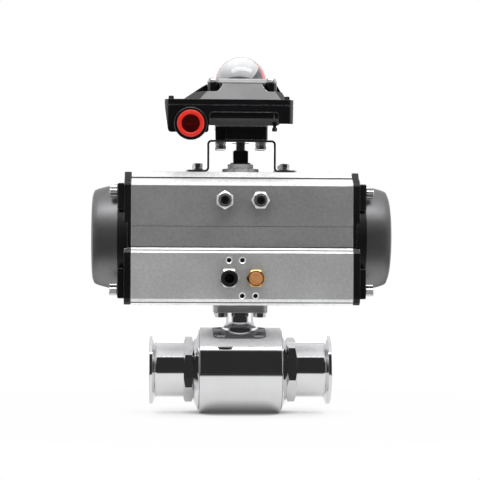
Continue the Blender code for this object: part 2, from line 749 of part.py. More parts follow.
def actuator_body():
    """The extruded body with its bore, journals, ports and tapped holes."""
    mesh = extruded("actuator_body", actuator_outline(), 2 * ACT_HALF)
    body = place("actuator_body", mesh, "blasted_aluminium", (0, 0, ACT_BOTTOM), PROFILE_YZ)
    bore = [(0, ACT_HALF + OVER), (ACT_BORE_R, ACT_HALF + OVER), (ACT_BORE_R, -ACT_HALF - OVER),
            (0, -ACT_HALF - OVER)]
    cut(body, turned("piston_bore", bore, at=(0, 0, ACT_AXIS), turn=ALONG_X, steps=LARGE))
    middle = ACT_AXIS
    journals = [((0, 0, ACT_BOTTOM - OVER), (0, 0, middle), JOURNAL_R + GAP, MEDIUM),
                ((0, 0, middle), (0, 0, ACT_TOP + OVER), TOP_JOURNAL_R + GAP, MEDIUM)]
    for start, end, radius, sides in journals:
        name = f"journal_{round(start[2])}"
        cut(body, place(name, rods(name, [(start, end, radius, sides)])))
    depth = LOWER_DEPTH + OVER
    fronts = [((x, -depth, PORT_Z), (x, PORT_DEPTH - LOWER_DEPTH, PORT_Z), PORT_R + GAP, SMALL)
              for x in (-PORT_X, PORT_X)]
    port_floor = PORT_HOLE_DEPTH - LOWER_DEPTH
    fronts += [((x, -depth, PORT_Z + z), (x, port_floor, PORT_Z + z), PORT_HOLE_R, HOLE_SIDES)
               for x, z in port_holes()]
    fronts += [((x, -depth, STOP_Z), (x, -CAM_FLAT, STOP_Z), STOP_R + GAP, SMALL) for x in (-STOP_X, STOP_X)]
    cut(body, place("front_holes", rods("front_holes", fronts)))
    half = MOUNT_SPACING / 2
    screws = [((x, y, ACT_BOTTOM - OVER), (x, y, ACT_BOTTOM + MOUNT_BOLT_GRIP + GAP),
               MOUNT_BOLT_R + GAP, HOLE_SIDES) for x in (-half, half) for y in (-half, half)]
    screws += [((x, y, ACT_TOP - FOOT_BOLT_GRIP - GAP), (x, y, ACT_TOP + OVER), FOOT_BOLT_R + GAP, HOLE_SIDES)
               for x, y in foot_places()]
    for x in (-ACT_HALF, ACT_HALF):
        outer = x + math.copysign(OVER, x)
        inner = x - math.copysign(CAP_SCREW_GRIP + GAP, x)
        screws += [((outer, y, ACT_AXIS + z), (inner, y, ACT_AXIS + z), CAP_SCREW_R + GAP, HOLE_SIDES)
                   for y, z in cap_screw_places()]
    cut(body, place("tapped_holes", rods("tapped_holes", screws)))


def cap_side(steps=4):
    """A cap's round side, which swells quickly near its nose and then slowly to the flange."""
    nose = CAP_END - CAP_NOSE
    run = nose - CAP_START - CAP_FLANGE
    shares = [step / steps for step in range(steps + 1)]
    return [(CAP_TIP_R + CAP_TAPER * share ** CAP_SWELL, nose - run * share) for share in shares]


def end_caps():
    """Both end caps: flange, four screw blocks and a hollow cone for the spring."""
    for side, heading in (("left", TO_LEFT), ("right", TO_RIGHT)):
        name = f"{side}_end_cap"
        facing = (0.0, 0.0, heading)
        flange = extruded(name, actuator_outline(CAP_INSET), CAP_FLANGE)
        turn_profile = (math.pi / 2, 0.0, math.pi / 2 + heading)
        out = math.cos(heading)
        cap = place(name, flange, "dark_paint", (out * (CAP_START + CAP_FLANGE / 2), 0, ACT_BOTTOM),
                    turn_profile)
        start = CAP_START + CAP_FLANGE
        cone = [(0, CAP_END), (CAP_TIP_R - CAP_NOSE_IN, CAP_END - CAP_CROWN), *cap_side(),
                (CAP_ROOT_R, start - CAP_FLANGE / 2), (0, start - CAP_FLANGE / 2)]
        lie = (0.0, math.pi / 2, heading)
        join(cap, turned(f"{name}_cone", cone, at=(0, 0, ACT_AXIS), turn=lie, steps=LARGE))
        low_x = start - CAP_FLANGE / 2
        inner = CAP_SCREW_Y - BLOCK_INWARD
        outer = CAP_SCREW_Y + BLOCK_OUTWARD
        upper = (CAP_SCREW_UP - UPPER_BLOCK_BELOW, CAP_SCREW_UP + UPPER_BLOCK_ABOVE)
        lower = (-CAP_SCREW_DOWN - LOWER_BLOCK_BELOW, -CAP_SCREW_DOWN + LOWER_BLOCK_ABOVE)
        blocks = [((low_x, front, low), (CAP_FACE, back, high))
                  for front, back in ((-outer, -inner), (inner, outer)) for low, high in (upper, lower)]
        for number, block in enumerate(blocks, 1):
            block_name = f"{name}_block_{number}"
            join(cap, place(block_name, boxes(block_name, [block]), at=(0, 0, ACT_AXIS), turn=facing))
        hollow = [(0, CAP_END - CAP_WALL), (CAP_HOLLOW_R, CAP_END - CAP_WALL),
                  (CAP_HOLLOW_R, CAP_START - OVER), (0, CAP_START - OVER)]
        cut(cap, turned(f"{name}_hollow", hollow, at=(0, 0, ACT_AXIS), turn=lie, steps=LARGE))
        holes = rods(f"{name}_holes", [((CAP_START - OVER, y, z), (CAP_FACE + OVER, y, z),
                                        CAP_SCREW_R + GAP, HOLE_SIDES) for y, z in cap_screw_places()])
        cut(cap, place(f"{name}_holes", holes, at=(0, 0, ACT_AXIS), turn=facing))
        cap_screws(side, out)


def cap_screws(side, out):
    """The four socket head screws of one end cap."""
    turn = ALONG_X if out > 0 else AGAINST_X
    seat = CAP_FACE + GAP
    length = seat - ACT_HALF + CAP_SCREW_GRIP
    profile = [(0, CAP_SCREW_HEAD), (CAP_SCREW_HEAD_R - EDGE, CAP_SCREW_HEAD),
               (CAP_SCREW_HEAD_R, CAP_SCREW_HEAD - EDGE), (CAP_SCREW_HEAD_R, 0), (CAP_SCREW_R, 0),
               (CAP_SCREW_R, -length), (0, -length)]
    for number, (y, z) in enumerate(cap_screw_places(), 1):
        name = f"{side}_cap_screw_{number}"
        at = (out * seat, y, ACT_AXIS + z)
        screw = turned(name, profile, "polished_steel", at, turn, steps=SMALL)
        key = hex_rod(f"{name}_key", CAP_SCREW_KEY, CAP_SCREW_HEAD / 2, CAP_SCREW_HEAD + OVER)
        cut(screw, place(f"{name}_key", key, at=at, turn=turn))


def involute(angle):
    """The involute function of a pressure angle."""
    return math.tan(angle) - angle


def gear_outline():
    """The pinion's outline, with each flank an involute above the base circle."""
    thick = math.pi * MODULE / 2 - GAP
    root = PITCH_R - DEDENDUM * MODULE
    tip = PITCH_R + ADDENDUM * MODULE
    base = PITCH_R * math.cos(PRESSURE_ANGLE)
    flank = []
    for step in range(3):
        radius = base + (tip - base) * step / 2
        angle = math.acos(min(1.0, base / radius))
        flank.append((radius, thick / 2 / PITCH_R + involute(PRESSURE_ANGLE) - involute(angle)))
    half = [(root, flank[0][1]), *flank]
    points = []
    for tooth in range(TEETH):
        centre = math.tau * tooth / TEETH
        polar = [(r, centre - a) for r, a in half] + [(r, centre + a) for r, a in reversed(half)]
        points += [(r * math.cos(a), r * math.sin(a)) for r, a in polar]
    return points


def cam_outline():
    """The stop cam: a disc with two flats that meet the stop screws at closed and open."""
    start = math.asin(CAM_FLAT / CAM_R)
    sweep = OPEN_TRAVEL + 2 * start
    arc = [-start + sweep * step / 8 for step in range(9)]
    return [(CAM_R * math.cos(a), CAM_R * math.sin(a)) for a in arc] + [(-CAM_FLAT, -CAM_FLAT)]


def pinion():
    """The pinion shaft with its gear, stop cam, drive socket and slotted top."""
    low = ACT_BOTTOM + GAP
    gear_low = ACT_AXIS - GEAR_HALF
    cam_high = STOP_Z + CAM_THICK / 2
    profile = [(0, BLOCK_BOTTOM + OVER), (TOP_SHAFT_R, BLOCK_BOTTOM + OVER), (TOP_SHAFT_R, ACT_TOP - OVER),
               (TOP_JOURNAL_R, ACT_TOP - OVER), (TOP_JOURNAL_R, cam_high + OVER), (NECKED_R, cam_high + OVER),
               (NECKED_R, ACT_AXIS), (JOURNAL_R, ACT_AXIS), (JOURNAL_R, low), (0, low)]
    obj = turned("pinion", profile, "dark_steel", parent=STEM_AXIS)
    gear = extruded("gear", gear_outline(), 2 * GEAR_HALF)
    join(obj, place("gear", gear, at=(0, 0, gear_low + GEAR_HALF)))
    join(obj, place("stop_cam", extruded("stop_cam", cam_outline(), CAM_THICK), at=(0, 0, STOP_Z)))
    half = SHAFT_BLOCK / 2
    join(obj, place("shaft_block", boxes("shaft_block", [
        ((-half, -half, BLOCK_BOTTOM), (half, half, PINION_TOP))])))
    socket = DRIVE_SQUARE / 2 + GAP
    side = SHAFT_SLOT / 2
    cut(obj, place("drive_socket", boxes("drive_socket", [
        ((-socket, -socket, low - OVER), (socket, socket, DRIVE_TOP + GAP))])))
    cut(obj, place("shaft_slot", boxes("shaft_slot", [
        ((-half - OVER, -side, PINION_TOP - SHAFT_SLOT_DEPTH), (half + OVER, side, PINION_TOP + OVER))])))
    inner = TOP_SHAFT_R + GAP
    washer("pinion_thrust_washer", inner, THRUST_R, THRUST_BOTTOM, THRUST_BOTTOM + THRUST_THICK,
           "zinc_steel")
    washer("pinion_collar", inner, COLLAR_R, COLLAR_BOTTOM, COLLAR_BOTTOM + COLLAR_HEIGHT,
           "clear_plastic")


def rack_outline():
    """The rack arm's outline: teeth towards the pinion, with a gap of the pinion's at the centre."""
    pitch = math.pi * MODULE
    half = (pitch / 2 - GAP) / 2
    slope = math.tan(PRESSURE_ANGLE)
    tip_y = -(PITCH_R - ADDENDUM * MODULE)
    root_y = -(PITCH_R + DEDENDUM * MODULE)
    tip = half - ADDENDUM * MODULE * slope
    root = half + DEDENDUM * MODULE * slope
    end = -(PISTON_INNER - RACK_END_PLAY)
    join_x = PISTON_INNER + PISTON_THICK / 4
    count = int((PITCH_R * OPEN_TRAVEL + pitch) / pitch)
    points = [(end, root_y)]
    for number in range(-count, 2):
        x = (number + 0.5) * pitch
        if x - root > end:
            points += [(x - root, root_y), (x - tip, tip_y), (x + tip, tip_y), (x + root, root_y)]
    return points + [(join_x, root_y), (join_x, -RACK_BACK), (end, -RACK_BACK)]


def pistons():
    """Both pistons with their racks and rings: the right one's rack runs in front of the pinion."""
    face = PISTON_INNER + PISTON_THICK
    groove_high = face - RING_FROM_FACE
    groove_low = groove_high - RING_WIDTH - 2 * GAP
    groove_r = PISTON_R - RING_DEPTH - 2 * GAP
    profile = [(0, face), (PISTON_R, face), (PISTON_R, groove_high), (groove_r, groove_high),
               (groove_r, groove_low), (PISTON_R, groove_low), (PISTON_R, PISTON_INNER), (0, PISTON_INNER)]
    for side, heading in (("left", TO_LEFT), ("right", TO_RIGHT)):
        name = f"{side}_piston"
        lie = (0.0, math.pi / 2, heading)
        piston = turned(name, profile, "blasted_aluminium", (0, 0, ACT_AXIS), lie, PISTON_AXIS, steps=LARGE)
        arm = extruded(f"{name}_rack", rack_outline(), 2 * RACK_HALF)
        join(piston, place(f"{name}_rack", arm, at=(0, 0, ACT_AXIS), turn=(0.0, 0.0, heading)))
        ring_r = PISTON_R + RING_PROUD
        washer(f"{side}_piston_ring", groove_r + GAP, ring_r, groove_low + GAP, groove_high - GAP,
               "black_rubber", steps=LARGE, at=(0, 0, ACT_AXIS), turn=lie, parent=PISTON_AXIS)
        spring(f"{side}_spring", face + GAP, CAP_END - CAP_WALL - GAP, heading)


def spring(name, start, end, heading):
    """The return spring between a piston and its end cap, as a coiled wire."""
    first = start + SPRING_WIRE_R
    last = end - SPRING_WIRE_R
    count = SPRING_TURNS * COIL_SIDES
    curve = bpy.data.curves.new(name, "CURVE")
    curve.dimensions = "3D"
    curve.bevel_depth = SPRING_WIRE_R * MM
    curve.bevel_resolution = 1
    curve.resolution_u = 1
    curve.use_fill_caps = True
    spline = curve.splines.new("POLY")
    spline.points.add(count)
    for step, point in enumerate(spline.points):
        angle = math.tau * SPRING_TURNS * step / count
        along = first + (last - first) * step / count
        place_on_coil = (along, SPRING_R * math.cos(angle), SPRING_R * math.sin(angle))
        point.co = (*(value * MM for value in place_on_coil), 1.0)
    place(name, curve, "spring_steel", (0, 0, ACT_AXIS), (0.0, 0.0, heading), PISTON_AXIS)


def stop_screws():
    """The two travel stop screws with their lock nuts, on the front above the bore."""
    nut_low = UPPER_DEPTH + GAP
    outer = nut_low + STOP_NUT_THICK + STOP_STICKOUT
    tip = CAM_FLAT + GAP
    shoulder = tip + STOP_TIP_LENGTH
    profile = [(0, outer), (STOP_R - EDGE, outer), (STOP_R, outer - EDGE), (STOP_R, shoulder),
               (STOP_TIP_R, shoulder), (STOP_TIP_R, tip), (0, tip)]
    for side, x, spin in (("left", -STOP_X, math.radians(30)), ("right", STOP_X, 0.0)):
        at = (x, 0, STOP_Z)
        screw = turned(f"{side}_stop_screw", profile, "dark_steel", at, TO_FRONT, steps=SMALL)
        key = hex_rod(f"{side}_stop_key", STOP_KEY, outer - STOP_KEY, outer + OVER)
        cut(screw, place(f"{side}_stop_key", key, at=at, turn=TO_FRONT))
        mesh = hex_rod(f"{side}_stop_nut", STOP_NUT_FLATS, nut_low, nut_low + STOP_NUT_THICK, spin)
        nut = place(f"{side}_stop_nut", mesh, "zinc_steel", at, TO_FRONT)
        name = f"{side}_stop_nut_thread"
        thread = rods(name, [((0, 0, nut_low - OVER), (0, 0, nut_low + STOP_NUT_THICK + OVER),
                              STOP_R + GAP, SMALL)])
        cut(nut, place(name, thread, at=at, turn=TO_FRONT))


def air_fittings():
    """The push-in tube fitting with its release collar, and the exhaust silencer."""
    seat = LOWER_DEPTH + GAP
    thread = LOWER_DEPTH - PORT_DEPTH + GAP
    at = (-PORT_X, 0, PORT_Z)
    hex_end = seat + FITTING_HEX
    mouth = hex_end + FITTING_LENGTH
    sleeve_r = AIR_TUBE_R + SLEEVE_WALL
    profile = [(0, mouth), (FITTING_R - EDGE, mouth), (FITTING_R, mouth - EDGE), (FITTING_R, hex_end - OVER),
               (PORT_R, hex_end - OVER), (PORT_R, thread), (0, thread)]
    fitting = turned("air_fitting", profile, "nickel", at, TO_FRONT)
    join(fitting, place("fitting_hex", hex_rod("fitting_hex", FITTING_FLATS, seat, hex_end),
                        at=at, turn=TO_FRONT))
    sleeve_floor = mouth - SLEEVE_LENGTH - RELEASE_TRAVEL - GAP
    room = [(0, mouth + OVER), (sleeve_r + GAP, mouth + OVER), (sleeve_r + GAP, sleeve_floor),
            (AIR_TUBE_R, sleeve_floor), (AIR_TUBE_R, seat), (PORT_R / 2, seat - OVER),
            (PORT_R / 2, thread - OVER), (0, thread - OVER)]
    cut(fitting, turned("fitting_room", room, at=at, turn=TO_FRONT))
    lip = mouth + RELEASE_TRAVEL + GAP
    collar = [(RELEASE_R, lip + RELEASE_LIP), (RELEASE_R, lip), (sleeve_r, lip),
              (sleeve_r, mouth - SLEEVE_LENGTH), (AIR_TUBE_R, mouth - SLEEVE_LENGTH),
              (AIR_TUBE_R, lip + RELEASE_LIP)]
    turned("release_collar", collar, "black_plastic", at, TO_FRONT, ring=True)
    at = (PORT_X, 0, PORT_Z)
    hex_end = seat + SILENCER_HEX
    silencer = place("silencer", hex_rod("silencer", SILENCER_FLATS, seat, hex_end), "brass", at, TO_FRONT)
    stub = rods("silencer_stub", [((0, 0, thread), (0, 0, seat + OVER), PORT_R, SMALL)])
    join(silencer, place("silencer_stub", stub, at=at, turn=TO_FRONT))
    recess = hex_end - SILENCER_RECESS
    room = [(0, hex_end + OVER), (SILENCER_DISC_R + GAP, hex_end + OVER),
            (SILENCER_DISC_R + GAP, recess),
            (PORT_R / 2, recess), (PORT_R / 2, thread - OVER), (0, thread - OVER)]
    cut(silencer, turned("silencer_room", room, at=at, turn=TO_FRONT))
    disc = [(0, hex_end), (SILENCER_DISC_R - EDGE, hex_end), (SILENCER_DISC_R, hex_end - EDGE),
            (SILENCER_DISC_R, recess + GAP), (0, recess + GAP)]
    turned("silencer_disc", disc, "sintered_bronze", at, TO_FRONT)


def foot_places():
    """The bracket's four foot bolts."""
    return [(x, y) for x in (-FOOT_HOLE_X, FOOT_HOLE_X) for y in (-FOOT_HOLE_Y, FOOT_HOLE_Y)]


def bend(centre_x, centre_z, radius, start, end, steps=3):
    """Points along one bend, between two angles in degrees."""
    angles = [math.radians(start + (end - start) * step / steps) for step in range(steps + 1)]
    return [(centre_x + radius * math.cos(a), centre_z + radius * math.sin(a)) for a in angles]


def bracket():
    """The bent sheet bracket: two feet, two legs and a top plate."""
    leg = BRACKET_TOP_HALF - SHEET / 2
    low = FOOT_BOTTOM + SHEET / 2
    high = BRACKET_TOP - SHEET / 2
    right = bend(leg - BEND_R, high - BEND_R, BEND_R, 90, 0)
    right += bend(leg + BEND_R, low + BEND_R, BEND_R, 180, 270)
    right += [(BRACKET_FOOT_HALF, low)]
    line = [(-x, z) for x, z in reversed(right)] + right
    front = -BRACKET_DEPTH / 2
    bm = bmesh.new()
    verts = [bm.verts.new((x * MM, front * MM, z * MM)) for x, z in line]
    edges = [bm.edges.new(pair) for pair in zip(verts, verts[1:])]
    swept = bmesh.ops.extrude_edge_only(bm, edges=edges)
    moved = [item for item in swept["geom"] if isinstance(item, bmesh.types.BMVert)]
    bmesh.ops.translate(bm, verts=moved, vec=(0, BRACKET_DEPTH * MM, 0))
    obj = place("bracket", finished(bm, "bracket"), "zinc_steel")
    thick = obj.modifiers.new("Sheet", "SOLIDIFY")
    thick.thickness = SHEET * MM
    thick.offset = 0.0
    holes = [((x, y, FOOT_BOTTOM - OVER), (x, y, FOOT_BOTTOM + SHEET + OVER), FOOT_BOLT_R + GAP, HOLE_SIDES)
             for x, y in foot_places()]
    holes += [((x, TOP_BOLT_Y, BRACKET_TOP - SHEET - OVER), (x, TOP_BOLT_Y, BRACKET_TOP + OVER),
               TOP_BOLT_R + GAP, HOLE_SIDES) for x in (-TOP_BOLT_X, TOP_BOLT_X)]
    holes += [((0, 0, BRACKET_TOP - SHEET - OVER), (0, 0, BRACKET_TOP + OVER), BRACKET_EYE_R, MEDIUM)]
    cut(obj, place("bracket_holes", rods("bracket_holes", holes)))
    down = (math.pi, 0.0, 0.0)
    for number, (x, y) in enumerate(foot_places(), 1):
        bolt(f"foot_bolt_{number}", FOOT_BOLT_FLATS, FOOT_BOLT_HEAD, FOOT_BOLT_R,
             SHEET + GAP + FOOT_BOLT_GRIP, "zinc_steel", (x, y, FOOT_BOTTOM + SHEET + GAP), down, WASHERS)
    for number, x in enumerate((-TOP_BOLT_X, TOP_BOLT_X), 1):
        bolt(f"box_bolt_{number}", FOOT_BOLT_FLATS, TOP_BOLT_HEAD, TOP_BOLT_R,
             SHEET + GAP + TOP_BOLT_GRIP, "zinc_steel", (x, TOP_BOLT_Y, BRACKET_TOP - SHEET - GAP),
             washers=WASHERS)


def switch_base():
    """The switch box's lower half: foot, recessed tray, left pod and the cable boss."""
    deep = BOX_DEPTH_HALF
    pod = TRAY_BOTTOM - POD_DROP
    shelf = TRAY_BOTTOM + SHELF_RISE
    front = [(-BOX_LEFT, TRAY_TOP), (-BOX_LEFT + POD_DRAFT, pod), (POD_RIGHT, pod), (POD_RIGHT, TRAY_BOTTOM),
             (SHELF_LEFT, TRAY_BOTTOM), (SHELF_LEFT, shelf), (BOX_RIGHT - SHELF_DRAFT, shelf),
             (BOX_RIGHT, TRAY_TOP)]
    base = place("switch_base", extruded("switch_base", front, 2 * deep), "black_plastic", turn=TO_FRONT)
    corners = rounded_rect(-BOX_LEFT, BOX_RIGHT, -deep, deep, BOX_CORNER)
    tall = TRAY_TOP - pod + 2 * OVER
    combine(base, place("box_corners", extruded("box_corners", corners, tall),
                        at=(0, 0, (TRAY_TOP + pod) / 2)), "INTERSECT")
    near = deep - PANEL_DEPTH
    panel = [(-deep - OVER, TRAY_BOTTOM + PANEL_TOP), (-near, TRAY_BOTTOM + PANEL_TOP),
             (-near, TRAY_BOTTOM + PANEL_FOOT), (-near + PANEL_SLOPE, TRAY_BOTTOM),
             (-near + PANEL_SLOPE, TRAY_BOTTOM - OVER), (-deep - OVER, TRAY_BOTTOM - OVER)]
    for name, outline in (("front_panel", panel), ("back_panel", [(-y, z) for y, z in panel])):
        mesh = extruded(name, outline, SHELF_LEFT - POD_RIGHT - 2 * OVER)
        cut(base, place(name, mesh, at=((SHELF_LEFT + POD_RIGHT) / 2, 0, 0), turn=PROFILE_YZ))
    foot_room = ((-FOOT_HALF, -FOOT_HALF, BOX_BOTTOM), (FOOT_HALF, FOOT_HALF, TRAY_BOTTOM + OVER))
    foot = boxes("box_foot", [foot_room])
    join(base, place("box_foot", foot))
    boss = rods("cable_boss", [((BOSS_X, -BOSS_FRONT, BOSS_Z), (BOSS_X, BOSS_LENGTH - BOSS_FRONT, BOSS_Z),
                                BOSS_R, MEDIUM)])
    join(base, place("cable_boss", boss))
    behind_boss = BOSS_LENGTH - BOSS_FRONT + OVER
    beside_boss = BOSS_X + BOSS_R + OVER
    reach = deep - ROOM_INSET
    cut(base, place("wiring_room", boxes("wiring_room", [
        ((-BOX_LEFT + POD_DRAFT + BOX_WALL, behind_boss, pod + TRAY_FLOOR),
         (POD_RIGHT - BOX_WALL, reach, TRAY_TOP + OVER))])))
    cut(base, place("switch_room", boxes("switch_room", [
        ((beside_boss, -reach, TRAY_INSIDE), (BOX_RIGHT - BOX_WALL, reach, TRAY_TOP + OVER))])))
    cut(base, place("wire_way", boxes("wire_way", [
        ((POD_RIGHT - BOX_WALL - OVER, behind_boss, TRAY_INSIDE), (beside_boss + OVER, reach, TRAY_TOP + OVER))])))
    holes = [((0, 0, BOX_BOTTOM - OVER), (0, 0, TRAY_INSIDE + OVER), SHAFT_R + GAP, SMALL),
             ((BOSS_X, -BOSS_FRONT - OVER, BOSS_Z), (BOSS_X, PLUG_DEPTH - BOSS_FRONT + GAP, BOSS_Z),
              PLUG_BODY_R + GAP, MEDIUM)]
    holes += [((x, TOP_BOLT_Y, BOX_BOTTOM - OVER), (x, TOP_BOLT_Y, BOX_BOTTOM + TOP_BOLT_GRIP),
               TOP_BOLT_R + GAP, HOLE_SIDES) for x in (-TOP_BOLT_X, TOP_BOLT_X)]
    cut(base, place("base_holes", rods("base_holes", holes)))
    front = BOSS_FRONT + GAP + PLUG_FLANGE
    inner = BOSS_FRONT - PLUG_DEPTH
    plug = [(0, inner + PLUG_FLOOR), (PLUG_HOLLOW_R, inner + PLUG_FLOOR), (PLUG_HOLLOW_R, front),
            (PLUG_R - EDGE, front), (PLUG_R, front - EDGE), (PLUG_R, BOSS_FRONT + GAP),
            (PLUG_BODY_R, BOSS_FRONT + GAP), (PLUG_BODY_R, inner), (0, inner)]
    turned("entry_plug", plug, "red_plastic", (BOSS_X, 0, BOSS_Z), TO_FRONT)


def switch_lid():
    """The lid: a flange and a low pyramid with the window frame on top."""
    deep = BOX_DEPTH_HALF
    outline = rounded_rect(-BOX_LEFT, BOX_RIGHT, -deep, deep, BOX_CORNER)
    flange = extruded("switch_lid", outline, LID_FLANGE)
    lid = place("switch_lid", flange, "black_plastic", (0, 0, LID_BOTTOM + LID_FLANGE / 2))
    slope = LID_SLOPE_Y
    low = (-LID_BASE_LEFT, LID_BASE_RIGHT, -LID_TOP_HALF - slope, LID_TOP_HALF + slope)
    high = (-LID_TOP_HALF, LID_TOP_HALF, -LID_TOP_HALF, LID_TOP_HALF)
    join(lid, place("lid_pyramid", tapered_box("lid_pyramid", low, high, LID_SHOULDER - OVER, LID_TOP)))
    wall = LID_WALL
    room_low = (low[0] + wall, low[1] - wall, low[2] + wall, low[3] - wall)
    room_high = (high[0] + wall, high[1] - wall, high[2] + wall, high[3] - wall)
    room = tapered_box("lid_room", room_low, room_high, LID_BOTTOM - OVER, LID_TOP - wall)
    cut(lid, place("lid_room", room))
    eye = rods("lid_eye", [((0, 0, LID_TOP - wall - OVER), (0, 0, LID_TOP + OVER), LID_EYE_R, MEDIUM)])
    cut(lid, place("lid_eye", eye))


def dome_arc(radius):
    """A quarter circle about the dome's centre, from the top down."""
    return [(radius * math.sin(angle), DOME_CENTRE + radius * math.cos(angle))
            for angle in (math.radians(15 * step) for step in range(7))]


def window():
    """The clear dome with its square plate, and the indicator inside."""
    half = DOME_PLATE_HALF
    plate = extruded("dome", rounded_rect(-half, half, -half, half, DOME_PLATE_CORNER), DOME_PLATE)
    dome = place("dome", plate, "clear_plastic", (0, 0, DOME_BOTTOM + DOME_PLATE / 2))
    shell = dome_arc(DOME_R) + [(DOME_R, DOME_BOTTOM + DOME_PLATE / 2), (0, DOME_BOTTOM + DOME_PLATE / 2)]
    join(dome, turned("dome_shell", shell, steps=LARGE))
    hollow = dome_arc(DOME_R - DOME_WALL)
    hollow += [(DOME_R - DOME_WALL, DOME_BOTTOM - OVER), (0, DOME_BOTTOM - OVER)]
    cut(dome, turned("dome_hollow", hollow, steps=LARGE))
    radius = DOME_R - DOME_WALL - INDICATOR_ROOM
    low = INDICATOR_BOTTOM
    bore = SHAFT_R + GAP
    profile = dome_arc(radius)
    profile += [(radius, low), (HUB_R, low), (HUB_R, low - HUB_DROP), (bore, low - HUB_DROP),
                (bore, SHAFT_TOP + GAP), (0, SHAFT_TOP + GAP)]
    turned("indicator", profile, "red_plastic", parent=STEM_AXIS, steps=LARGE)


def switch_gear():
    """The shaft with its cams and the two switches."""
    low = PINION_TOP + GAP
    shaft = turned("switch_shaft", [(0, SHAFT_TOP), (SHAFT_R, SHAFT_TOP), (SHAFT_R, low), (0, low)],
                   "zinc_steel", parent=STEM_AXIS, steps=SMALL)
    side = TANG_THICK / 2
    reach = TANG_SPAN / 2
    tang = boxes("shaft_tang", [((-reach, -side, PINION_TOP - TANG_DEPTH), (reach, side, low + 2 * GAP))])
    join(shaft, place("shaft_tang", tang))
    for number, name in enumerate(("lower_cam", "upper_cam")):
        bottom = TRAY_INSIDE + GAP + number * (SWITCH_HEIGHT + GAP)
        cam = washer(name, SHAFT_R + GAP, CAM_DISC_R, bottom, bottom + CAM_DISC_THICK, "grey_plastic",
                     parent=STEM_AXIS)
        lobe = rods(f"{name}_lobe", [((0, -CAM_DISC_R + CAM_LOBE, bottom), (0, -CAM_DISC_R + CAM_LOBE,
                                     bottom + CAM_DISC_THICK), CAM_LOBE * 2, HOLE_SIDES)])
        spun = place(f"{name}_lobe", lobe, turn=(0.0, 0.0, number * OPEN_TRAVEL))
        join(cam, spun)
    near = CAM_DISC_R + CAM_LOBE + 2 * GAP
    far = LID_TOP_HALF - SWITCH_ROOM
    deep = SWITCH_DEPTH / 2
    for number, name in enumerate(("lower_microswitch", "upper_microswitch")):
        bottom = TRAY_INSIDE + GAP + number * (SWITCH_HEIGHT + GAP)
        mesh = boxes(name, [((near, -deep, bottom), (far, deep, bottom + SWITCH_HEIGHT))])
        place(name, mesh, "grey_plastic")


def main():
    """Build the whole valve, from the pipe up."""
    valve_body()
    ball()
    flow_parts()
    stem_parts()
    mount_bolts()
    actuator_body()
    end_caps()
    pinion()
    pistons()
    stop_screws()
    air_fittings()
    bracket()
    switch_base()
    switch_lid()
    window()
    switch_gear()


main()
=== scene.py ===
"""The looks of a pneumatic ball valve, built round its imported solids.

Every size below is in millimetres, and a mesh is turned into metres as it is made. The origin is where
the pipe axis (X) crosses the stem axis (Z), and the front is -Y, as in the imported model.
"""
import logging
import math
from dataclasses import dataclass
from enum import Enum
from typing import Any, Iterable, Sequence

import bmesh
import bpy
from mathutils import Euler, Matrix, Vector


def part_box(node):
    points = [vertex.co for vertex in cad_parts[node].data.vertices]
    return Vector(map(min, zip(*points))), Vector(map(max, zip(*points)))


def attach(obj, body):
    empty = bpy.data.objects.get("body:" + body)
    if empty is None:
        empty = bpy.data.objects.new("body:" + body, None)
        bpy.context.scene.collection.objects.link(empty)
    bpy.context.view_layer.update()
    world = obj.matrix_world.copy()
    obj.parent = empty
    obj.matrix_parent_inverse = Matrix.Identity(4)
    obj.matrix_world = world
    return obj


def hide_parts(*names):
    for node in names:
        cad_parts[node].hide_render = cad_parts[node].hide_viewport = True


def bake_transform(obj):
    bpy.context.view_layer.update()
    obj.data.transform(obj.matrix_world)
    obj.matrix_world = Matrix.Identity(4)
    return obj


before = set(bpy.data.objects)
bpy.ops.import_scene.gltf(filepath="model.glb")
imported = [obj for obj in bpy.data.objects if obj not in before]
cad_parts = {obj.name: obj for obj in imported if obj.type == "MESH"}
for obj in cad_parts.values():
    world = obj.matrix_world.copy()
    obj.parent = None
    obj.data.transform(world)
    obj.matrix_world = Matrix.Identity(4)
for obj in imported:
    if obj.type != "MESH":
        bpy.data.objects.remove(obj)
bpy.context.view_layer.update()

MM = 0.001
GAP = 0.3
ROUND_STEPS = 128
SMALL_STEPS = 48
LOG = logging.getLogger("ball_valve")

Point = tuple[float, float]
Place = tuple[float, float, float]
Colour = tuple[float, float, float]


class Heading(Enum):
    """Where a shape's own Z axis points in the world."""

    UP = (0.0, 0.0, 0.0)
    DOWN = (math.pi, 0.0, 0.0)
    RIGHT = (0.0, math.pi / 2, 0.0)
    LEFT = (0.0, -math.pi / 2, 0.0)
    FRONT = (math.pi / 2, 0.0, 0.0)
    PROFILE = (math.pi / 2, 0.0, math.pi / 2)

    def matrix(self, at: Place = (0.0, 0.0, 0.0), spin: float = 0.0) -> Matrix:
        """The place of a shape that heads this way.

        Args:
            at: the shape's own origin, in millimetres.
            spin: a turn about the shape's own Z first, in radians.

        Returns:
            A matrix for a mesh in metres.
        """
        turn = Euler(self.value).to_matrix().to_4x4()
        return Matrix.Translation(Vector(at) * MM) @ turn @ Matrix.Rotation(spin, 4, "Z")


@dataclass(frozen=True)
class Room:
    """The box that a node of the frame fills at rest, in millimetres."""

    left: float
    right: float
    front: float
    back: float
    bottom: float
    top: float

    @classmethod
    def of(cls, node: str) -> "Room":
        """Read a node's box from the frame.

        Args:
            node: the node's name.

        Returns:
            Its box.
        """
        low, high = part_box(node)
        return cls(low.x / MM, high.x / MM, low.y / MM, high.y / MM, low.z / MM, high.z / MM)

    @property
    def middle(self) -> Place:
        """The centre of the box."""
        return ((self.left + self.right) / 2, (self.front + self.back) / 2, (self.bottom + self.top) / 2)


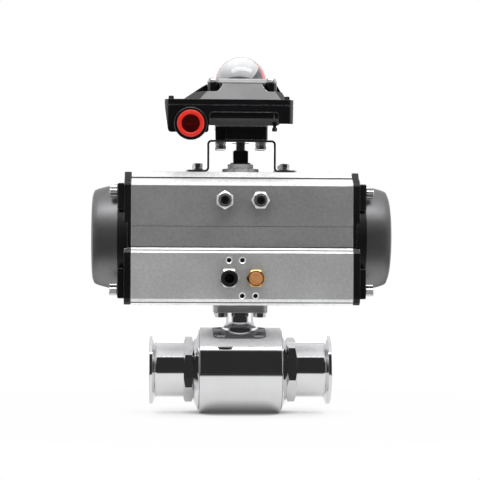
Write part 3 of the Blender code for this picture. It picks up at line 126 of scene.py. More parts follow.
def soften(points: Sequence[Point], radius: float | Sequence[float], steps: int = 4,
           closed: bool = True) -> list[Point]:
    """Round the corners of an outline with arcs.

    Args:
        points: the corners, in order.
        radius: one radius for all corners, or one for each.
        steps: how many straight pieces an arc has.
        closed: whether the last corner joins the first.

    Returns:
        The new outline.
    """
    count = len(points)
    radii = [radius] * count if isinstance(radius, (int, float)) else list(radius)
    outline: list[Point] = []
    for number, (corner, wanted) in enumerate(zip(points, radii)):
        is_end = not closed and number in (0, count - 1)
        here = Vector(corner)
        before = Vector(points[number - 1]) - here
        after = Vector(points[(number + 1) % count]) - here
        if wanted <= 0 or is_end or before.length < 1e-6 or after.length < 1e-6:
            outline.append(corner)
            continue
        corner_angle = before.angle(after)
        if corner_angle > math.pi - 0.01:
            outline.append(corner)
            continue
        half = corner_angle / 2
        reach = min(wanted / math.tan(half), before.length * 0.49, after.length * 0.49)
        fit = reach * math.tan(half)
        before.normalize()
        after.normalize()
        centre = here + (before + after).normalized() * (fit / math.sin(half))
        first = here + before * reach - centre
        last = here + after * reach - centre
        sweep = first.angle(last)
        for step in range(steps + 1):
            share = step / steps
            spoke = (first * math.sin((1 - share) * sweep) + last * math.sin(share * sweep)) / math.sin(sweep)
            outline.append(tuple(centre + spoke))
    return outline


def arc(centre: Point, radius: float, start: float, end: float, steps: int = 12) -> list[Point]:
    """Points along a round stretch, between two angles in degrees."""
    angles = [math.radians(start + (end - start) * step / steps) for step in range(steps + 1)]
    return [(centre[0] + radius * math.cos(a), centre[1] + radius * math.sin(a)) for a in angles]


def rectangle(left: float, right: float, front: float, back: float) -> list[Point]:
    """The corners of a rectangle, anticlockwise."""
    return [(right, back), (left, back), (left, front), (right, front)]


def mirrored(half: Sequence[Point]) -> list[Point]:
    """A whole outline from its right half, given from the top down."""
    return [(-across, up) for across, up in half] + [(across, up) for across, up in reversed(half)]


class Solid:
    """A shape while it is being made, which ends as a dressed piece that rides on a body."""

    def __init__(self, bm: bmesh.types.BMesh) -> None:
        """Close the built faces into an object.

        Args:
            bm: the faces, in metres. They are freed here.
        """
        bmesh.ops.remove_doubles(bm, verts=bm.verts, dist=1e-7)
        bmesh.ops.recalc_face_normals(bm, faces=bm.faces)
        mesh = bpy.data.meshes.new("work")
        bm.to_mesh(mesh)
        bm.free()
        self.obj = bpy.data.objects.new("work", mesh)
        bpy.context.scene.collection.objects.link(self.obj)

    @classmethod
    def turned(cls, profile: Sequence[Point], ring: bool = False, steps: int = ROUND_STEPS) -> "Solid":
        """Turn a profile of (radius, height) points about the shape's own Z.

        Args:
            profile: the points, from one end to the other.
            ring: whether the last point joins the first, as in a washer.
            steps: how many facets go round.

        Returns:
            The turned shape.
        """
        bm = bmesh.new()
        verts = [bm.verts.new((radius * MM, 0.0, height * MM)) for radius, height in profile]
        edges = [bm.edges.new(pair) for pair in zip(verts, verts[1:])]
        if ring:
            edges.append(bm.edges.new((verts[-1], verts[0])))
        bmesh.ops.spin(bm, geom=verts + edges, axis=(0, 0, 1), cent=(0, 0, 0), angle=math.tau,
                       steps=steps, use_merge=True)
        return cls(bm)

    @classmethod
    def prism(cls, outline: Sequence[Point], low: float, high: float) -> "Solid":
        """Raise a flat outline along the shape's own Z, between two heights."""
        bm = bmesh.new()
        face = bm.faces.new([bm.verts.new((x * MM, y * MM, low * MM)) for x, y in outline])
        raised = bmesh.ops.extrude_face_region(bm, geom=[face])
        moved = [item for item in raised["geom"] if isinstance(item, bmesh.types.BMVert)]
        bmesh.ops.translate(bm, verts=moved, vec=(0, 0, (high - low) * MM))
        return cls(bm)

    @classmethod
    def rod(cls, radius: float, low: float, high: float, steps: int = SMALL_STEPS, edge: float = 0.0) -> "Solid":
        """A round rod along the shape's own Z, with its ends rounded by an edge radius."""
        profile = [(0, high), (radius, high), (radius, low), (0, low)]
        return cls.turned(soften(profile, edge, steps=3, closed=False), steps=steps)

    @classmethod
    def block(cls, room: Room, edge: float = 0.0) -> "Solid":
        """A box, with its edges rounded."""
        outline = rectangle(room.left, room.right, room.front, room.back)
        solid = cls.prism(outline, room.bottom, room.top)
        return solid.eased(edge) if edge else solid

    @classmethod
    def hexagon(cls, flats: float, low: float, high: float, spin: float = 0.0, both_ends: bool = True,
                face_share: float = 0.475, tilt: float = 28.0) -> "Solid":
        """A hexagonal bar whose corners are turned down at its ends, as on a nut or a bolt head.

        Args:
            flats: the size across the flats.
            low: where the bar starts along its own Z.
            high: where it ends.
            spin: how far it is turned about its own Z.
            both_ends: whether the low end is turned down too.
            face_share: the radius at which the turning down starts, as a share of the flats.
            tilt: how steeply it goes down, in degrees.

        Returns:
            The bar.
        """
        corner = flats / math.sqrt(3)
        outline = [(corner * math.cos(a), corner * math.sin(a)) for a in
                   (spin + math.pi / 3 * side for side in range(6))]
        bar = cls.prism(outline, low, high).eased(flats * 0.008)
        face, reach = flats * face_share, corner + 1
        slope = math.tan(math.radians(tilt))
        drop = (reach - face) * slope
        over = min(0.5, face * slope / 2)
        inner = face - over / slope
        cone = [(0, high + over), (inner, high + over), (reach, high - drop)]
        cone += [(reach, low + drop), (inner, low - over)] if both_ends else [(reach, low - over)]
        return bar.keep(cls.turned([*cone, (0, low - over)], steps=96))

    def at(self, heading: Heading = Heading.UP, place: Place = (0.0, 0.0, 0.0), spin: float = 0.0) -> "Solid":
        """Put the shape in its place."""
        self.obj.data.transform(heading.matrix(place, spin))
        return self

    def copy(self) -> "Solid":
        """A second shape like this one."""
        twin = object.__new__(Solid)
        twin.obj = self.obj.copy()
        twin.obj.data = self.obj.data.copy()
        bpy.context.scene.collection.objects.link(twin.obj)
        return twin

    def flipped(self, axis: int) -> "Solid":
        """Mirror the shape across the plane through the origin that is square to an axis."""
        scale = Matrix.Identity(4)
        scale[axis][axis] = -1.0
        self.obj.data.transform(scale)
        self.obj.data.flip_normals()
        return self

    def eased(self, width: float, limit: float = 30.0, segments: int = 2) -> "Solid":
        """Round the edges that turn by more than a limit in degrees."""
        bm = bmesh.new()
        bm.from_mesh(self.obj.data)
        edges = [edge for edge in bm.edges if len(edge.link_faces) == 2
                 and edge.calc_face_angle(0.0) > math.radians(limit)]
        bmesh.ops.bevel(bm, geom=edges, offset=width * MM, segments=segments, profile=0.5,
                        affect="EDGES", clamp_overlap=True)
        bm.to_mesh(self.obj.data)
        bm.free()
        return self

    def _combine(self, others: Iterable["Solid"], operation: str) -> "Solid":
        """Apply one Boolean after another, and use up the other shapes."""
        for other in others:
            modifier = self.obj.modifiers.new("combine", "BOOLEAN")
            modifier.operation = operation
            modifier.object = other.obj
            modifier.solver = "EXACT"
            depsgraph = bpy.context.evaluated_depsgraph_get()
            mesh = bpy.data.meshes.new_from_object(self.obj.evaluated_get(depsgraph))
            self.obj.modifiers.clear()
            old = self.obj.data
            self.obj.data = mesh
            bpy.data.meshes.remove(old)
            bpy.data.objects.remove(other.obj, do_unlink=True)
        return self

    def cut(self, *others: "Solid") -> "Solid":
        """Cut other shapes away."""
        return self._combine(others, "DIFFERENCE")

    def join(self, *others: "Solid") -> "Solid":
        """Join other shapes on."""
        return self._combine(others, "UNION")

    def keep(self, *others: "Solid") -> "Solid":
        """Keep only what lies inside other shapes too."""
        return self._combine(others, "INTERSECT")

    def become(self, name: str, finish: "Finish", body: str = "housing", instead_of: Sequence[str] = (),
               sharp: float = 32.0) -> bpy.types.Object:
        """Name the shape, give it its finish and let it ride on its body.

        Args:
            name: the piece's name.
            finish: what its surface is made of.
            body: the body that it moves with.
            instead_of: the nodes of the frame that it stands for.
            sharp: the angle in degrees past which an edge stays sharp.

        Returns:
            The finished piece.
        """
        self.obj.name = name
        mesh = self.obj.data
        mesh.name = name
        mesh.materials.clear()
        mesh.materials.append(finish.material())
        mesh.shade_smooth()
        mesh.set_sharp_from_angle(angle=math.radians(sharp))
        normals = self.obj.modifiers.new("Flat faces stay flat", "WEIGHTED_NORMAL")
        normals.keep_sharp = True
        normals.weight = 100
        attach(self.obj, body)
        if instead_of:
            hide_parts(*instead_of)
        return self.obj


class Tree:
    """A short way to write a node tree."""

    def __init__(self, tree: bpy.types.NodeTree) -> None:
        """Start with a tree's nodes.

        Args:
            tree: the tree of a material, a world or a node group.
        """
        self.tree = tree

    def add(self, kind: str, inputs: dict[str | int, Any] | None = None, **settings: Any) -> bpy.types.Node:
        """Add a node.

        Args:
            kind: the node's type in Blender.
            inputs: what goes into its sockets, by name or number: a value, or another node's socket.
            settings: the node's own settings.

        Returns:
            The node.
        """
        node = self.tree.nodes.new(kind)
        for name, value in settings.items():
            setattr(node, name, value)
        for key, value in (inputs or {}).items():
            if isinstance(value, bpy.types.NodeSocket):
                self.tree.links.new(value, node.inputs[key])
            else:
                node.inputs[key].default_value = value
        return node

    def sum(self, operation: str, *values: Any, clamp: bool = False) -> bpy.types.NodeSocket:
        """A Math node's result, for an operation on one to three values."""
        node = self.add("ShaderNodeMath", dict(enumerate(values)), operation=operation, use_clamp=clamp)
        return node.outputs[0]

    def between(self, value: Any, low: Any, high: Any, to_low: Any = 0.0, to_high: Any = 1.0,
                smooth: bool = True) -> bpy.types.NodeSocket:
        """A value's share of the way from one limit to another, put on a new range."""
        node = self.add("ShaderNodeMapRange", {0: value, 1: low, 2: high, 3: to_low, 4: to_high},
                        interpolation_type="SMOOTHSTEP" if smooth else "LINEAR")
        return node.outputs[0]

    def blend(self, share: Any, first: Any, second: Any, how: str = "MIX") -> bpy.types.NodeSocket:
        """Two colours mixed."""
        node = self.add("ShaderNodeMix", {0: share, 6: first, 7: second}, data_type="RGBA", blend_type=how)
        return node.outputs[2]

    def noise(self, vector: Any, scale: Any, detail: float = 3.0, roughness: float = 0.55) -> bpy.types.NodeSocket:
        """Noise between 0 and 1 over the surface."""
        node = self.add("ShaderNodeTexNoise", {"Vector": vector, "Scale": scale, "Detail": detail,
                                               "Roughness": roughness})
        return node.outputs[0]


def rgba(colour: Colour) -> tuple[float, float, float, float]:
    """A colour with full alpha."""
    return (*colour, 1.0)


class Effect:
    """A shader node group that several finishes share. It is built once."""

    name = ""
    takes: dict[str, tuple[str, Any]] = {}
    gives: dict[str, str] = {}

    @classmethod
    def group(cls) -> bpy.types.NodeTree:
        """The group, made at its first use."""
        tree = bpy.data.node_groups.get(cls.name)
        if tree:
            return tree
        tree = bpy.data.node_groups.new(cls.name, "ShaderNodeTree")
        for label, (kind, value) in cls.takes.items():
            socket = tree.interface.new_socket(label, in_out="INPUT", socket_type=kind)
            socket.default_value = value
        for label, kind in cls.gives.items():
            tree.interface.new_socket(label, in_out="OUTPUT", socket_type=kind)
        nodes = Tree(tree)
        start = nodes.add("NodeGroupInput")
        found = cls.write(nodes, start.outputs)
        nodes.add("NodeGroupOutput", found)
        return tree

    @classmethod
    def write(cls, nodes: Tree, takes: Any) -> dict[str, bpy.types.NodeSocket]:
        """Write the group's nodes.

        Args:
            nodes: the group's tree.
            takes: the sockets of what the group takes.

        Returns:
            What goes into each output.
        """
        raise NotImplementedError

    @classmethod
    def place(cls, nodes: Tree, **values: Any) -> bpy.types.Node:
        """Put the group in a material with its own values."""
        node = nodes.add("ShaderNodeGroup", node_tree=cls.group())
        for label, value in values.items():
            key = label.replace("_", " ").capitalize()
            if isinstance(value, bpy.types.NodeSocket):
                nodes.tree.links.new(value, node.inputs[key])
            else:
                node.inputs[key].default_value = value
        return node


class EdgeWearAndHighlight(Effect):
    """Where an outer edge is rubbed bright, broken up by noise; the same mask also paints highlights along edges, as
    on the black plastic.
    """

    name = "Edge wear"
    takes = {"Width": ("NodeSocketFloat", 0.0006), "Amount": ("NodeSocketFloat", 0.5)}
    gives = {"Mask": "NodeSocketFloat"}

    @classmethod
    def write(cls, nodes: Tree, takes: Any) -> dict[str, bpy.types.NodeSocket]:
        """Compare the surface's normal with one that is rounded at the edges."""
        place = nodes.add("ShaderNodeTexCoord").outputs["Object"]
        flat = nodes.add("ShaderNodeNewGeometry").outputs["Normal"]
        rounded = nodes.add("ShaderNodeBevel", {"Radius": takes["Width"]}, samples=4).outputs[0]
        same = nodes.add("ShaderNodeVectorMath", {0: flat, 1: rounded}, operation="DOT_PRODUCT").outputs["Value"]
        edge = nodes.between(same, 0.995, 0.86)
        patches = nodes.between(nodes.noise(place, 260.0, 4.0, 0.7), 0.38, 0.62)
        worn_and_highlit = nodes.sum("MULTIPLY", edge, nodes.sum("ADD", 0.25, nodes.sum("MULTIPLY", patches, 0.75)))
        return {"Mask": nodes.sum("MULTIPLY", worn_and_highlit, takes["Amount"], clamp=True)}


class Lines(Effect):
    """Fine lines left by turning, drawing or brushing, which run along the squeezed axes."""

    name = "Tool lines"
    takes = {"Across": ("NodeSocketVector", (1.0, 0.02, 0.02)), "Fineness": ("NodeSocketFloat", 2500.0),
             "Depth": ("NodeSocketFloat", 0.000002)}
    gives = {"Value": "NodeSocketFloat", "Height": "NodeSocketFloat"}

    @classmethod
    def write(cls, nodes: Tree, takes: Any) -> dict[str, bpy.types.NodeSocket]:
        """Stretch noise along the lines."""
        place = nodes.add("ShaderNodeTexCoord").outputs["Object"]
        squeezed = nodes.add("ShaderNodeVectorMath", {0: place, 1: takes["Across"]}, operation="MULTIPLY").outputs[0]
        lines = nodes.noise(squeezed, takes["Fineness"], 2.0, 0.6)
        bands = nodes.noise(squeezed, nodes.sum("MULTIPLY", takes["Fineness"], 0.12), 3.0, 0.6)
        value = nodes.sum("ADD", nodes.sum("MULTIPLY", lines, 0.6), nodes.sum("MULTIPLY", bands, 0.4))
        return {"Value": value, "Height": nodes.sum("MULTIPLY", value, takes["Depth"])}


class Speckle(Effect):
    """Tiny dents and grains, as on a blasted, cast or moulded surface."""

    name = "Speckle"
    takes = {"Fineness": ("NodeSocketFloat", 2000.0), "Depth": ("NodeSocketFloat", 0.00001)}
    gives = {"Value": "NodeSocketFloat", "Height": "NodeSocketFloat"}

    @classmethod
    def write(cls, nodes: Tree, takes: Any) -> dict[str, bpy.types.NodeSocket]:
        """Mix small cells with noise of two sizes."""
        place = nodes.add("ShaderNodeTexCoord").outputs["Object"]
        cells = nodes.add("ShaderNodeTexVoronoi", {"Vector": place, "Scale": takes["Fineness"]},
                          feature="SMOOTH_F1").outputs["Distance"]
        grain = nodes.noise(place, nodes.sum("MULTIPLY", takes["Fineness"], 0.45), 4.0, 0.7)
        coarse = nodes.noise(place, nodes.sum("MULTIPLY", takes["Fineness"], 0.16), 2.0, 0.6)
        value = nodes.sum("ADD", nodes.sum("MULTIPLY", cells, 0.3), nodes.sum("MULTIPLY", grain, 0.45))
        value = nodes.sum("ADD", value, nodes.sum("MULTIPLY", coarse, 0.3))
        return {"Value": value, "Height": nodes.sum("MULTIPLY", value, takes["Depth"])}


class Handling(Effect):
    """Faint smears and dull patches left by hands and cloths."""

    name = "Handling"
    takes = {"Size": ("NodeSocketFloat", 30.0)}
    gives = {"Value": "NodeSocketFloat"}

    @classmethod
    def write(cls, nodes: Tree, takes: Any) -> dict[str, bpy.types.NodeSocket]:
        """Bend large soft patches by a second noise."""
        place = nodes.add("ShaderNodeTexCoord").outputs["Object"]
        drift = nodes.add("ShaderNodeTexNoise", {"Vector": place, "Scale": takes["Size"], "Detail": 2.0})
        shift = nodes.add("ShaderNodeVectorMath", {0: drift.outputs["Color"], "Scale": 0.02}, operation="SCALE")
        bent = nodes.add("ShaderNodeVectorMath", {0: place, 1: shift.outputs[0]}, operation="ADD")
        patches = nodes.noise(bent.outputs[0], nodes.sum("MULTIPLY", takes["Size"], 1.7), 4.0, 0.55)
        return {"Value": nodes.between(patches, 0.34, 0.68)}


class Lay(Enum):
    """Which way a finish's fine lines cross the part: they vary along the large numbers."""

    ROUND_PIPE = (1.0, 0.02, 0.02)
    ALONG_PIPE = (0.015, 1.0, 1.0)
    ROUND_STEM = (0.02, 0.02, 1.0)
    ROUND_PORT = (0.02, 1.0, 0.02)
    NONE = (1.0, 1.0, 1.0)


MADE: dict["Finish", bpy.types.Material] = {}


@dataclass(frozen=True)
class Finish:
    """What a surface is made of: plain values for its sockets and how strong each effect is."""

    slot: str
    colour: Colour
    metallic: float = 0.0
    roughness: float = 0.4
    dull: float = 0.08
    tint: float = 0.06
    lay: Lay = Lay.NONE
    line_fineness: float = 2500.0
    line_depth: float = 0.0
    line_tint: float = 0.0
    speckle_fineness: float = 2000.0
    speckle_depth: float = 0.0
    speckle_tint: float = 0.0
    wear_and_highlight: float = 0.0
    wear_and_highlight_width: float = 0.0006
    worn_and_highlight_colour: Colour = (0.7, 0.7, 0.72)
    coat: float = 0.0
    coat_roughness: float = 0.1
    through: float = 0.0
    bends: float = 1.5
    rim: float = 0.0
    painted_sheen_colour: Colour = (0.34, 0.34, 0.35)
    smear: float = 30.0

    def material(self) -> bpy.types.Material:
        """The finish as a material, made at its first use."""
        if self in MADE:
            return MADE[self]
        material = bpy.data.materials.new(f"{self.slot} {self.lay.name.lower()}")
        MADE[self] = material
        material.use_nodes = True
        material.node_tree.nodes.clear()
        nodes = Tree(material.node_tree)
        smears = Handling.place(nodes, size=self.smear).outputs["Value"]
        colour, grain = self.colours(nodes)
        height = None
        if self.line_depth or self.line_tint:
            lines = Lines.place(nodes, across=self.lay.value, fineness=self.line_fineness, depth=self.line_depth)
            shade = nodes.between(lines.outputs["Value"], 0.3, 0.7, 1 - self.line_tint, 1.0)
            colour = nodes.blend(1.0, colour, self.grey(nodes, shade), "MULTIPLY")
            height = lines.outputs["Height"]
        if self.speckle_depth or self.speckle_tint:
            dots = Speckle.place(nodes, fineness=self.speckle_fineness, depth=self.speckle_depth)
            shade = nodes.between(dots.outputs["Value"], 0.36, 0.64, 1 - self.speckle_tint, 1 + self.speckle_tint / 2)
            colour = nodes.blend(1.0, colour, self.grey(nodes, shade), "MULTIPLY")
            height = nodes.sum("ADD", height, dots.outputs["Height"]) if height else dots.outputs["Height"]
        if grain is not None:
            height = nodes.sum("ADD", height, grain) if height else grain
        soft = nodes.between(smears, 0.0, 1.0, 1 - self.tint, 1.0, smooth=False)
        colour = nodes.blend(1.0, colour, self.grey(nodes, soft), "MULTIPLY")
        roughness = nodes.between(smears, 0.0, 1.0, self.roughness, self.roughness + self.dull, smooth=False)
        metallic: Any = self.metallic
        # Edge wear and painted highlight: the mask lightens outer edges, as real wear on most finishes and as painted
        # highlights on the black plastic.
        if self.wear_and_highlight:
            worn_and_highlit = EdgeWearAndHighlight.place(nodes, width=self.wear_and_highlight_width, amount=self.wear_and_highlight).outputs["Mask"]
            colour = nodes.blend(worn_and_highlit, colour, rgba(self.worn_and_highlight_colour))
            roughness = nodes.between(worn_and_highlit, 0.0, 1.0, roughness, 0.32, smooth=False)
            if not self.metallic:
                metallic = worn_and_highlit
        # Painted sheen: where the surface is seen at a grazing angle, the colour goes towards the painted sheen
        # colour, by the rim share.
        if self.rim:
            aslant = nodes.add("ShaderNodeLayerWeight", {"Blend": 0.35}).outputs["Facing"]
            colour = nodes.blend(nodes.between(aslant, 0.5, 0.95, 0.0, self.rim), colour, rgba(self.painted_sheen_colour))
        values: dict[str | int, Any] = {
            "Base Color": colour, "Roughness": roughness, "Metallic": metallic, "Coat Weight": self.coat,
            "Coat Roughness": self.coat_roughness, "Transmission Weight": self.through, "IOR": self.bends}
        if height is not None:
            values["Normal"] = nodes.add("ShaderNodeBump", {"Strength": 1.0, "Distance": 1.0,
                                                            "Height": height}).outputs[0]
        shader = nodes.add("ShaderNodeBsdfPrincipled", values)
        nodes.add("ShaderNodeOutputMaterial", {"Surface": shader.outputs[0]})
        return material

    def grey(self, nodes: Tree, value: bpy.types.NodeSocket) -> bpy.types.NodeSocket:
        """A value as a grey colour."""
        return nodes.add("ShaderNodeCombineColor", {0: value, 1: value, 2: value}).outputs[0]

    def colours(self, nodes: Tree) -> tuple[Any, Any]:
        """The ground colour and any height of its own.

        Args:
            nodes: the material's tree.

        Returns:
            The colour, and a height or None.
        """
        return rgba(self.colour), None

    def dress(self, *names: str) -> None:
        """Give this finish to nodes of the frame that are shown as they are."""
        for name in names:
            self.cover(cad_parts[name])

    def cover(self, obj: bpy.types.Object) -> None:
        """Give this finish to one object."""
        obj.data.materials.clear()
        obj.data.materials.append(self.material())
        obj.data.shade_smooth()
        obj.data.set_sharp_from_angle(angle=math.radians(32))


@dataclass(frozen=True)
class Signal(Finish):
    """The indicator's shell: pale to the front and back, dark beside that, and coloured at both sides, with painted
    shade that darkens it towards the bottom and a painted shadow along its foot.
    """

    side_colour: Colour = (0.85, 0.03, 0.04)
    wedge_colour: Colour = (0.05, 0.05, 0.055)
    painted_shade_colour: Colour = (0.30, 0.30, 0.31)
    low_z: float = 0.2675
    high_z: float = 0.2860
    turn: float = math.radians(7)
    foot_z: float = 0.2661
    peak_z: float = 0.2796
    fade_z: float = 0.2835
    shade_x: float = 0.014
    shade_high: float = 0.0026

    def colours(self, nodes: Tree) -> tuple[Any, Any]:
        """Three colours by how far a point lies towards the pipe's ends, with the dark ones as wedges, over painted
        shade towards the bottom and a painted shadow at the foot.
        """
        place = nodes.add("ShaderNodeTexCoord").outputs["Object"]
        turned = nodes.add("ShaderNodeVectorRotate", {"Vector": place, "Angle": self.turn}, rotation_type="Z_AXIS")
        apart = nodes.add("ShaderNodeSeparateXYZ", {0: turned.outputs[0]})
        flat = nodes.add("ShaderNodeCombineXYZ", {0: apart.outputs[0], 1: apart.outputs[1]})
        length = nodes.add("ShaderNodeVectorMath", {0: flat.outputs[0]}, operation="LENGTH").outputs["Value"]
        share = nodes.sum("DIVIDE", nodes.sum("ABSOLUTE", apart.outputs[0]), nodes.sum("MAXIMUM", length, MM))
        edge = nodes.between(apart.outputs[2], self.foot_z, self.peak_z, 0.44, 0.88, smooth=False)
        narrow = nodes.between(apart.outputs[0], -0.002, 0.002, 0.32, 0.0)
        wedge = nodes.between(nodes.sum("SUBTRACT", share, nodes.sum("ADD", edge, narrow)), -0.008, 0.008)
        side = nodes.sum("MULTIPLY", nodes.between(share, 0.885, 0.900),
                         nodes.between(apart.outputs[2], self.fade_z, self.fade_z - 0.003))
        across = nodes.sum("DIVIDE", apart.outputs[0], self.shade_x)
        arch = nodes.sum("SUBTRACT", 1.0, nodes.sum("MULTIPLY", across, across))
        over = nodes.sum("SUBTRACT", apart.outputs[2], nodes.sum("MULTIPLY", arch, self.shade_high))
        # Painted shadow: a thin dark band along the shell's foot, highest in the middle.
        shade = nodes.between(over, self.foot_z + 0.0015, self.foot_z + 0.0009)
        # Painted shade: the pale colour darkens from the top down to the painted shade colour.
        pale = nodes.blend(nodes.between(apart.outputs[2], self.low_z, self.high_z, smooth=False),
                           rgba(self.painted_shade_colour), rgba(self.colour))
        colour = nodes.blend(nodes.sum("MAXIMUM", wedge, shade), pale, rgba(self.wedge_colour))
        return nodes.blend(side, colour, rgba(self.side_colour)), None


@dataclass(frozen=True)
class Blasted(Finish):
    """A blasted extrusion with painted light: its slopes and level faces are painted brighter than its sides, and the
    lower sides are brighter too.
    """

    lower_colour: Colour = (0.55, 0.55, 0.555)
    painted_light_colour: Colour = (0.96, 0.96, 0.965)
    step_z: float = 0.1110
    low_z: float = 0.0620
    high_z: float = 0.1810

    def colours(self, nodes: Tree) -> tuple[Any, Any]:
        """Lighten the colour below the step, and paint light where the surface slopes and on the top and the
        underside.
        """
        place = nodes.add("ShaderNodeTexCoord")
        facing = nodes.sum("ABSOLUTE", nodes.add("ShaderNodeSeparateXYZ", {0: place.outputs["Normal"]}).outputs[1])
        height = nodes.add("ShaderNodeSeparateXYZ", {0: place.outputs["Object"]}).outputs[2]
        # Painted light: the slopes, the top and the underside take the painted light colour, as if lit from above and
        # below.
        slope = nodes.sum("MULTIPLY", nodes.between(facing, 0.08, 0.22), nodes.between(facing, 0.975, 0.945))
        level = nodes.sum("MAXIMUM", nodes.between(height, self.low_z, self.low_z - 0.0004),
                          nodes.between(height, self.high_z, self.high_z + 0.0006))
        lower = nodes.between(height, self.step_z + 0.001, self.step_z - 0.001)
        colour = nodes.blend(lower, rgba(self.colour), rgba(self.lower_colour))
        return nodes.blend(nodes.sum("MAXIMUM", slope, level), colour, rgba(self.painted_light_colour)), None


@dataclass(frozen=True)
class Coated(Finish):
    """The caps' coating: darker on the flange and its blocks than on the turned cone."""

    flange_colour: Colour = (0.045, 0.045, 0.047)
    flange_x: float = 0.1125

    def colours(self, nodes: Tree) -> tuple[Any, Any]:
        """Darken the coating up to the blocks' outer faces."""
        place = nodes.add("ShaderNodeTexCoord").outputs["Object"]
        reach = nodes.sum("ABSOLUTE", nodes.add("ShaderNodeSeparateXYZ", {0: place}).outputs[0])
        flange = nodes.between(reach, self.flange_x + 0.0002, self.flange_x - 0.0002)
        return nodes.blend(flange, rgba(self.colour), rgba(self.flange_colour)), None


@dataclass(frozen=True)
class Hollow(Finish):
    """Moulded plastic with painted shade that makes its deep hollow towards the back nearly dark."""

    hollow_shade_colour: Colour = (0.28, 0.004, 0.003)
    rim_y: float = -0.0500
    floor_y: float = -0.0462

    def colours(self, nodes: Tree) -> tuple[Any, Any]:
        """Paint shade: darken the colour from the rim into the hollow."""
        place = nodes.add("ShaderNodeTexCoord").outputs["Object"]
        depth = nodes.add("ShaderNodeSeparateXYZ", {0: place}).outputs[1]
        share = nodes.between(depth, self.rim_y, self.floor_y)
        return nodes.blend(share, rgba(self.colour), rgba(self.hollow_shade_colour)), None


@dataclass(frozen=True)
class Sinter(Finish):
    """Bronze grains baked together, with painted shade in the pores between them."""

    grain: float = 1500.0
    pore_shade_colour: Colour = (0.42, 0.15, 0.05)

    def colours(self, nodes: Tree) -> tuple[Any, Any]:
        """Round grains that stand up from the gaps between them."""
        place = nodes.add("ShaderNodeTexCoord").outputs["Object"]
        cells = nodes.add("ShaderNodeTexVoronoi", {"Vector": place, "Scale": self.grain}).outputs["Distance"]
        open_share = nodes.between(cells, 0.42, 0.85)
        height = nodes.sum("MULTIPLY", open_share, -0.00012)
        # Painted shade: the pores take the darker pore shade colour.
        return nodes.blend(open_share, rgba(self.colour), rgba(self.pore_shade_colour)), height


STEEL = Finish("polished_steel", (0.80, 0.80, 0.81), metallic=1.0, roughness=0.04, dull=0.03, tint=0.03,
               lay=Lay.ROUND_PIPE, line_fineness=2600.0, line_depth=2e-7, line_tint=0.02, smear=22.0)
STEEL_BRUSHED = Finish("polished_steel", (0.36, 0.36, 0.365), metallic=0.85, roughness=0.32, dull=0.08, tint=0.06,
                       lay=Lay.ALONG_PIPE, line_fineness=1800.0, line_depth=3e-6, line_tint=0.08)
STEEL_DRAWN = Finish("polished_steel", (0.80, 0.80, 0.81), metallic=1.0, roughness=0.06, dull=0.04, tint=0.04,
                     lay=Lay.ALONG_PIPE, line_fineness=2200.0, line_depth=3e-7, line_tint=0.03)
ZINC = Finish("zinc_steel", (0.74, 0.74, 0.75), metallic=1.0, roughness=0.16, dull=0.10, tint=0.12,
              speckle_fineness=2600.0, speckle_depth=2e-6, speckle_tint=0.05, smear=90.0)
ZINC_PALE = Finish("zinc_steel", (0.88, 0.88, 0.89), metallic=0.50, roughness=0.24, dull=0.08, tint=0.08,
                   speckle_fineness=2600.0, speckle_depth=2e-6, speckle_tint=0.05)
ZINC_TURNED = Finish("zinc_steel", (0.58, 0.58, 0.59), metallic=1.0, roughness=0.22, dull=0.10, tint=0.12,
                     lay=Lay.ROUND_STEM, line_fineness=2600.0, line_depth=2e-6, line_tint=0.10)
BLASTED = Blasted("blasted_aluminium", (0.33, 0.33, 0.335), metallic=0.45, roughness=0.46, dull=0.10, tint=0.07,
                  speckle_fineness=2000.0, speckle_depth=1.6e-5, speckle_tint=0.16, wear_and_highlight=0.55,
                  wear_and_highlight_width=0.0007, worn_and_highlight_colour=(0.72, 0.72, 0.73), smear=14.0)
MACHINED = Finish("blasted_aluminium", (0.92, 0.92, 0.93), metallic=0.35, roughness=0.30, dull=0.06, tint=0.05,
                  lay=Lay.ROUND_PORT, line_fineness=2400.0, line_depth=2e-6, line_tint=0.06)
PISTON = Finish("blasted_aluminium", (0.45, 0.45, 0.455), metallic=0.8, roughness=0.34, dull=0.10, tint=0.08,
                lay=Lay.ROUND_PIPE, line_fineness=2000.0, line_depth=4e-6, line_tint=0.08, speckle_depth=4e-6)
SHEET_METAL = Finish("zinc_steel", (0.62, 0.62, 0.63), metallic=1.0, roughness=0.15, dull=0.12, tint=0.08,
                     lay=Lay.ALONG_PIPE, line_fineness=1600.0, line_depth=2e-6, line_tint=0.08,
                     speckle_fineness=1800.0, speckle_depth=2e-6, speckle_tint=0.06, wear_and_highlight=0.2)
PAINT = Coated("dark_paint", (0.25, 0.25, 0.255), metallic=0.96, roughness=0.42, dull=0.06, tint=0.10,
               speckle_fineness=900.0, speckle_depth=6e-6, speckle_tint=0.06, wear_and_highlight=0.7,
               wear_and_highlight_width=0.0008, worn_and_highlight_colour=(0.70, 0.70, 0.71), smear=18.0)
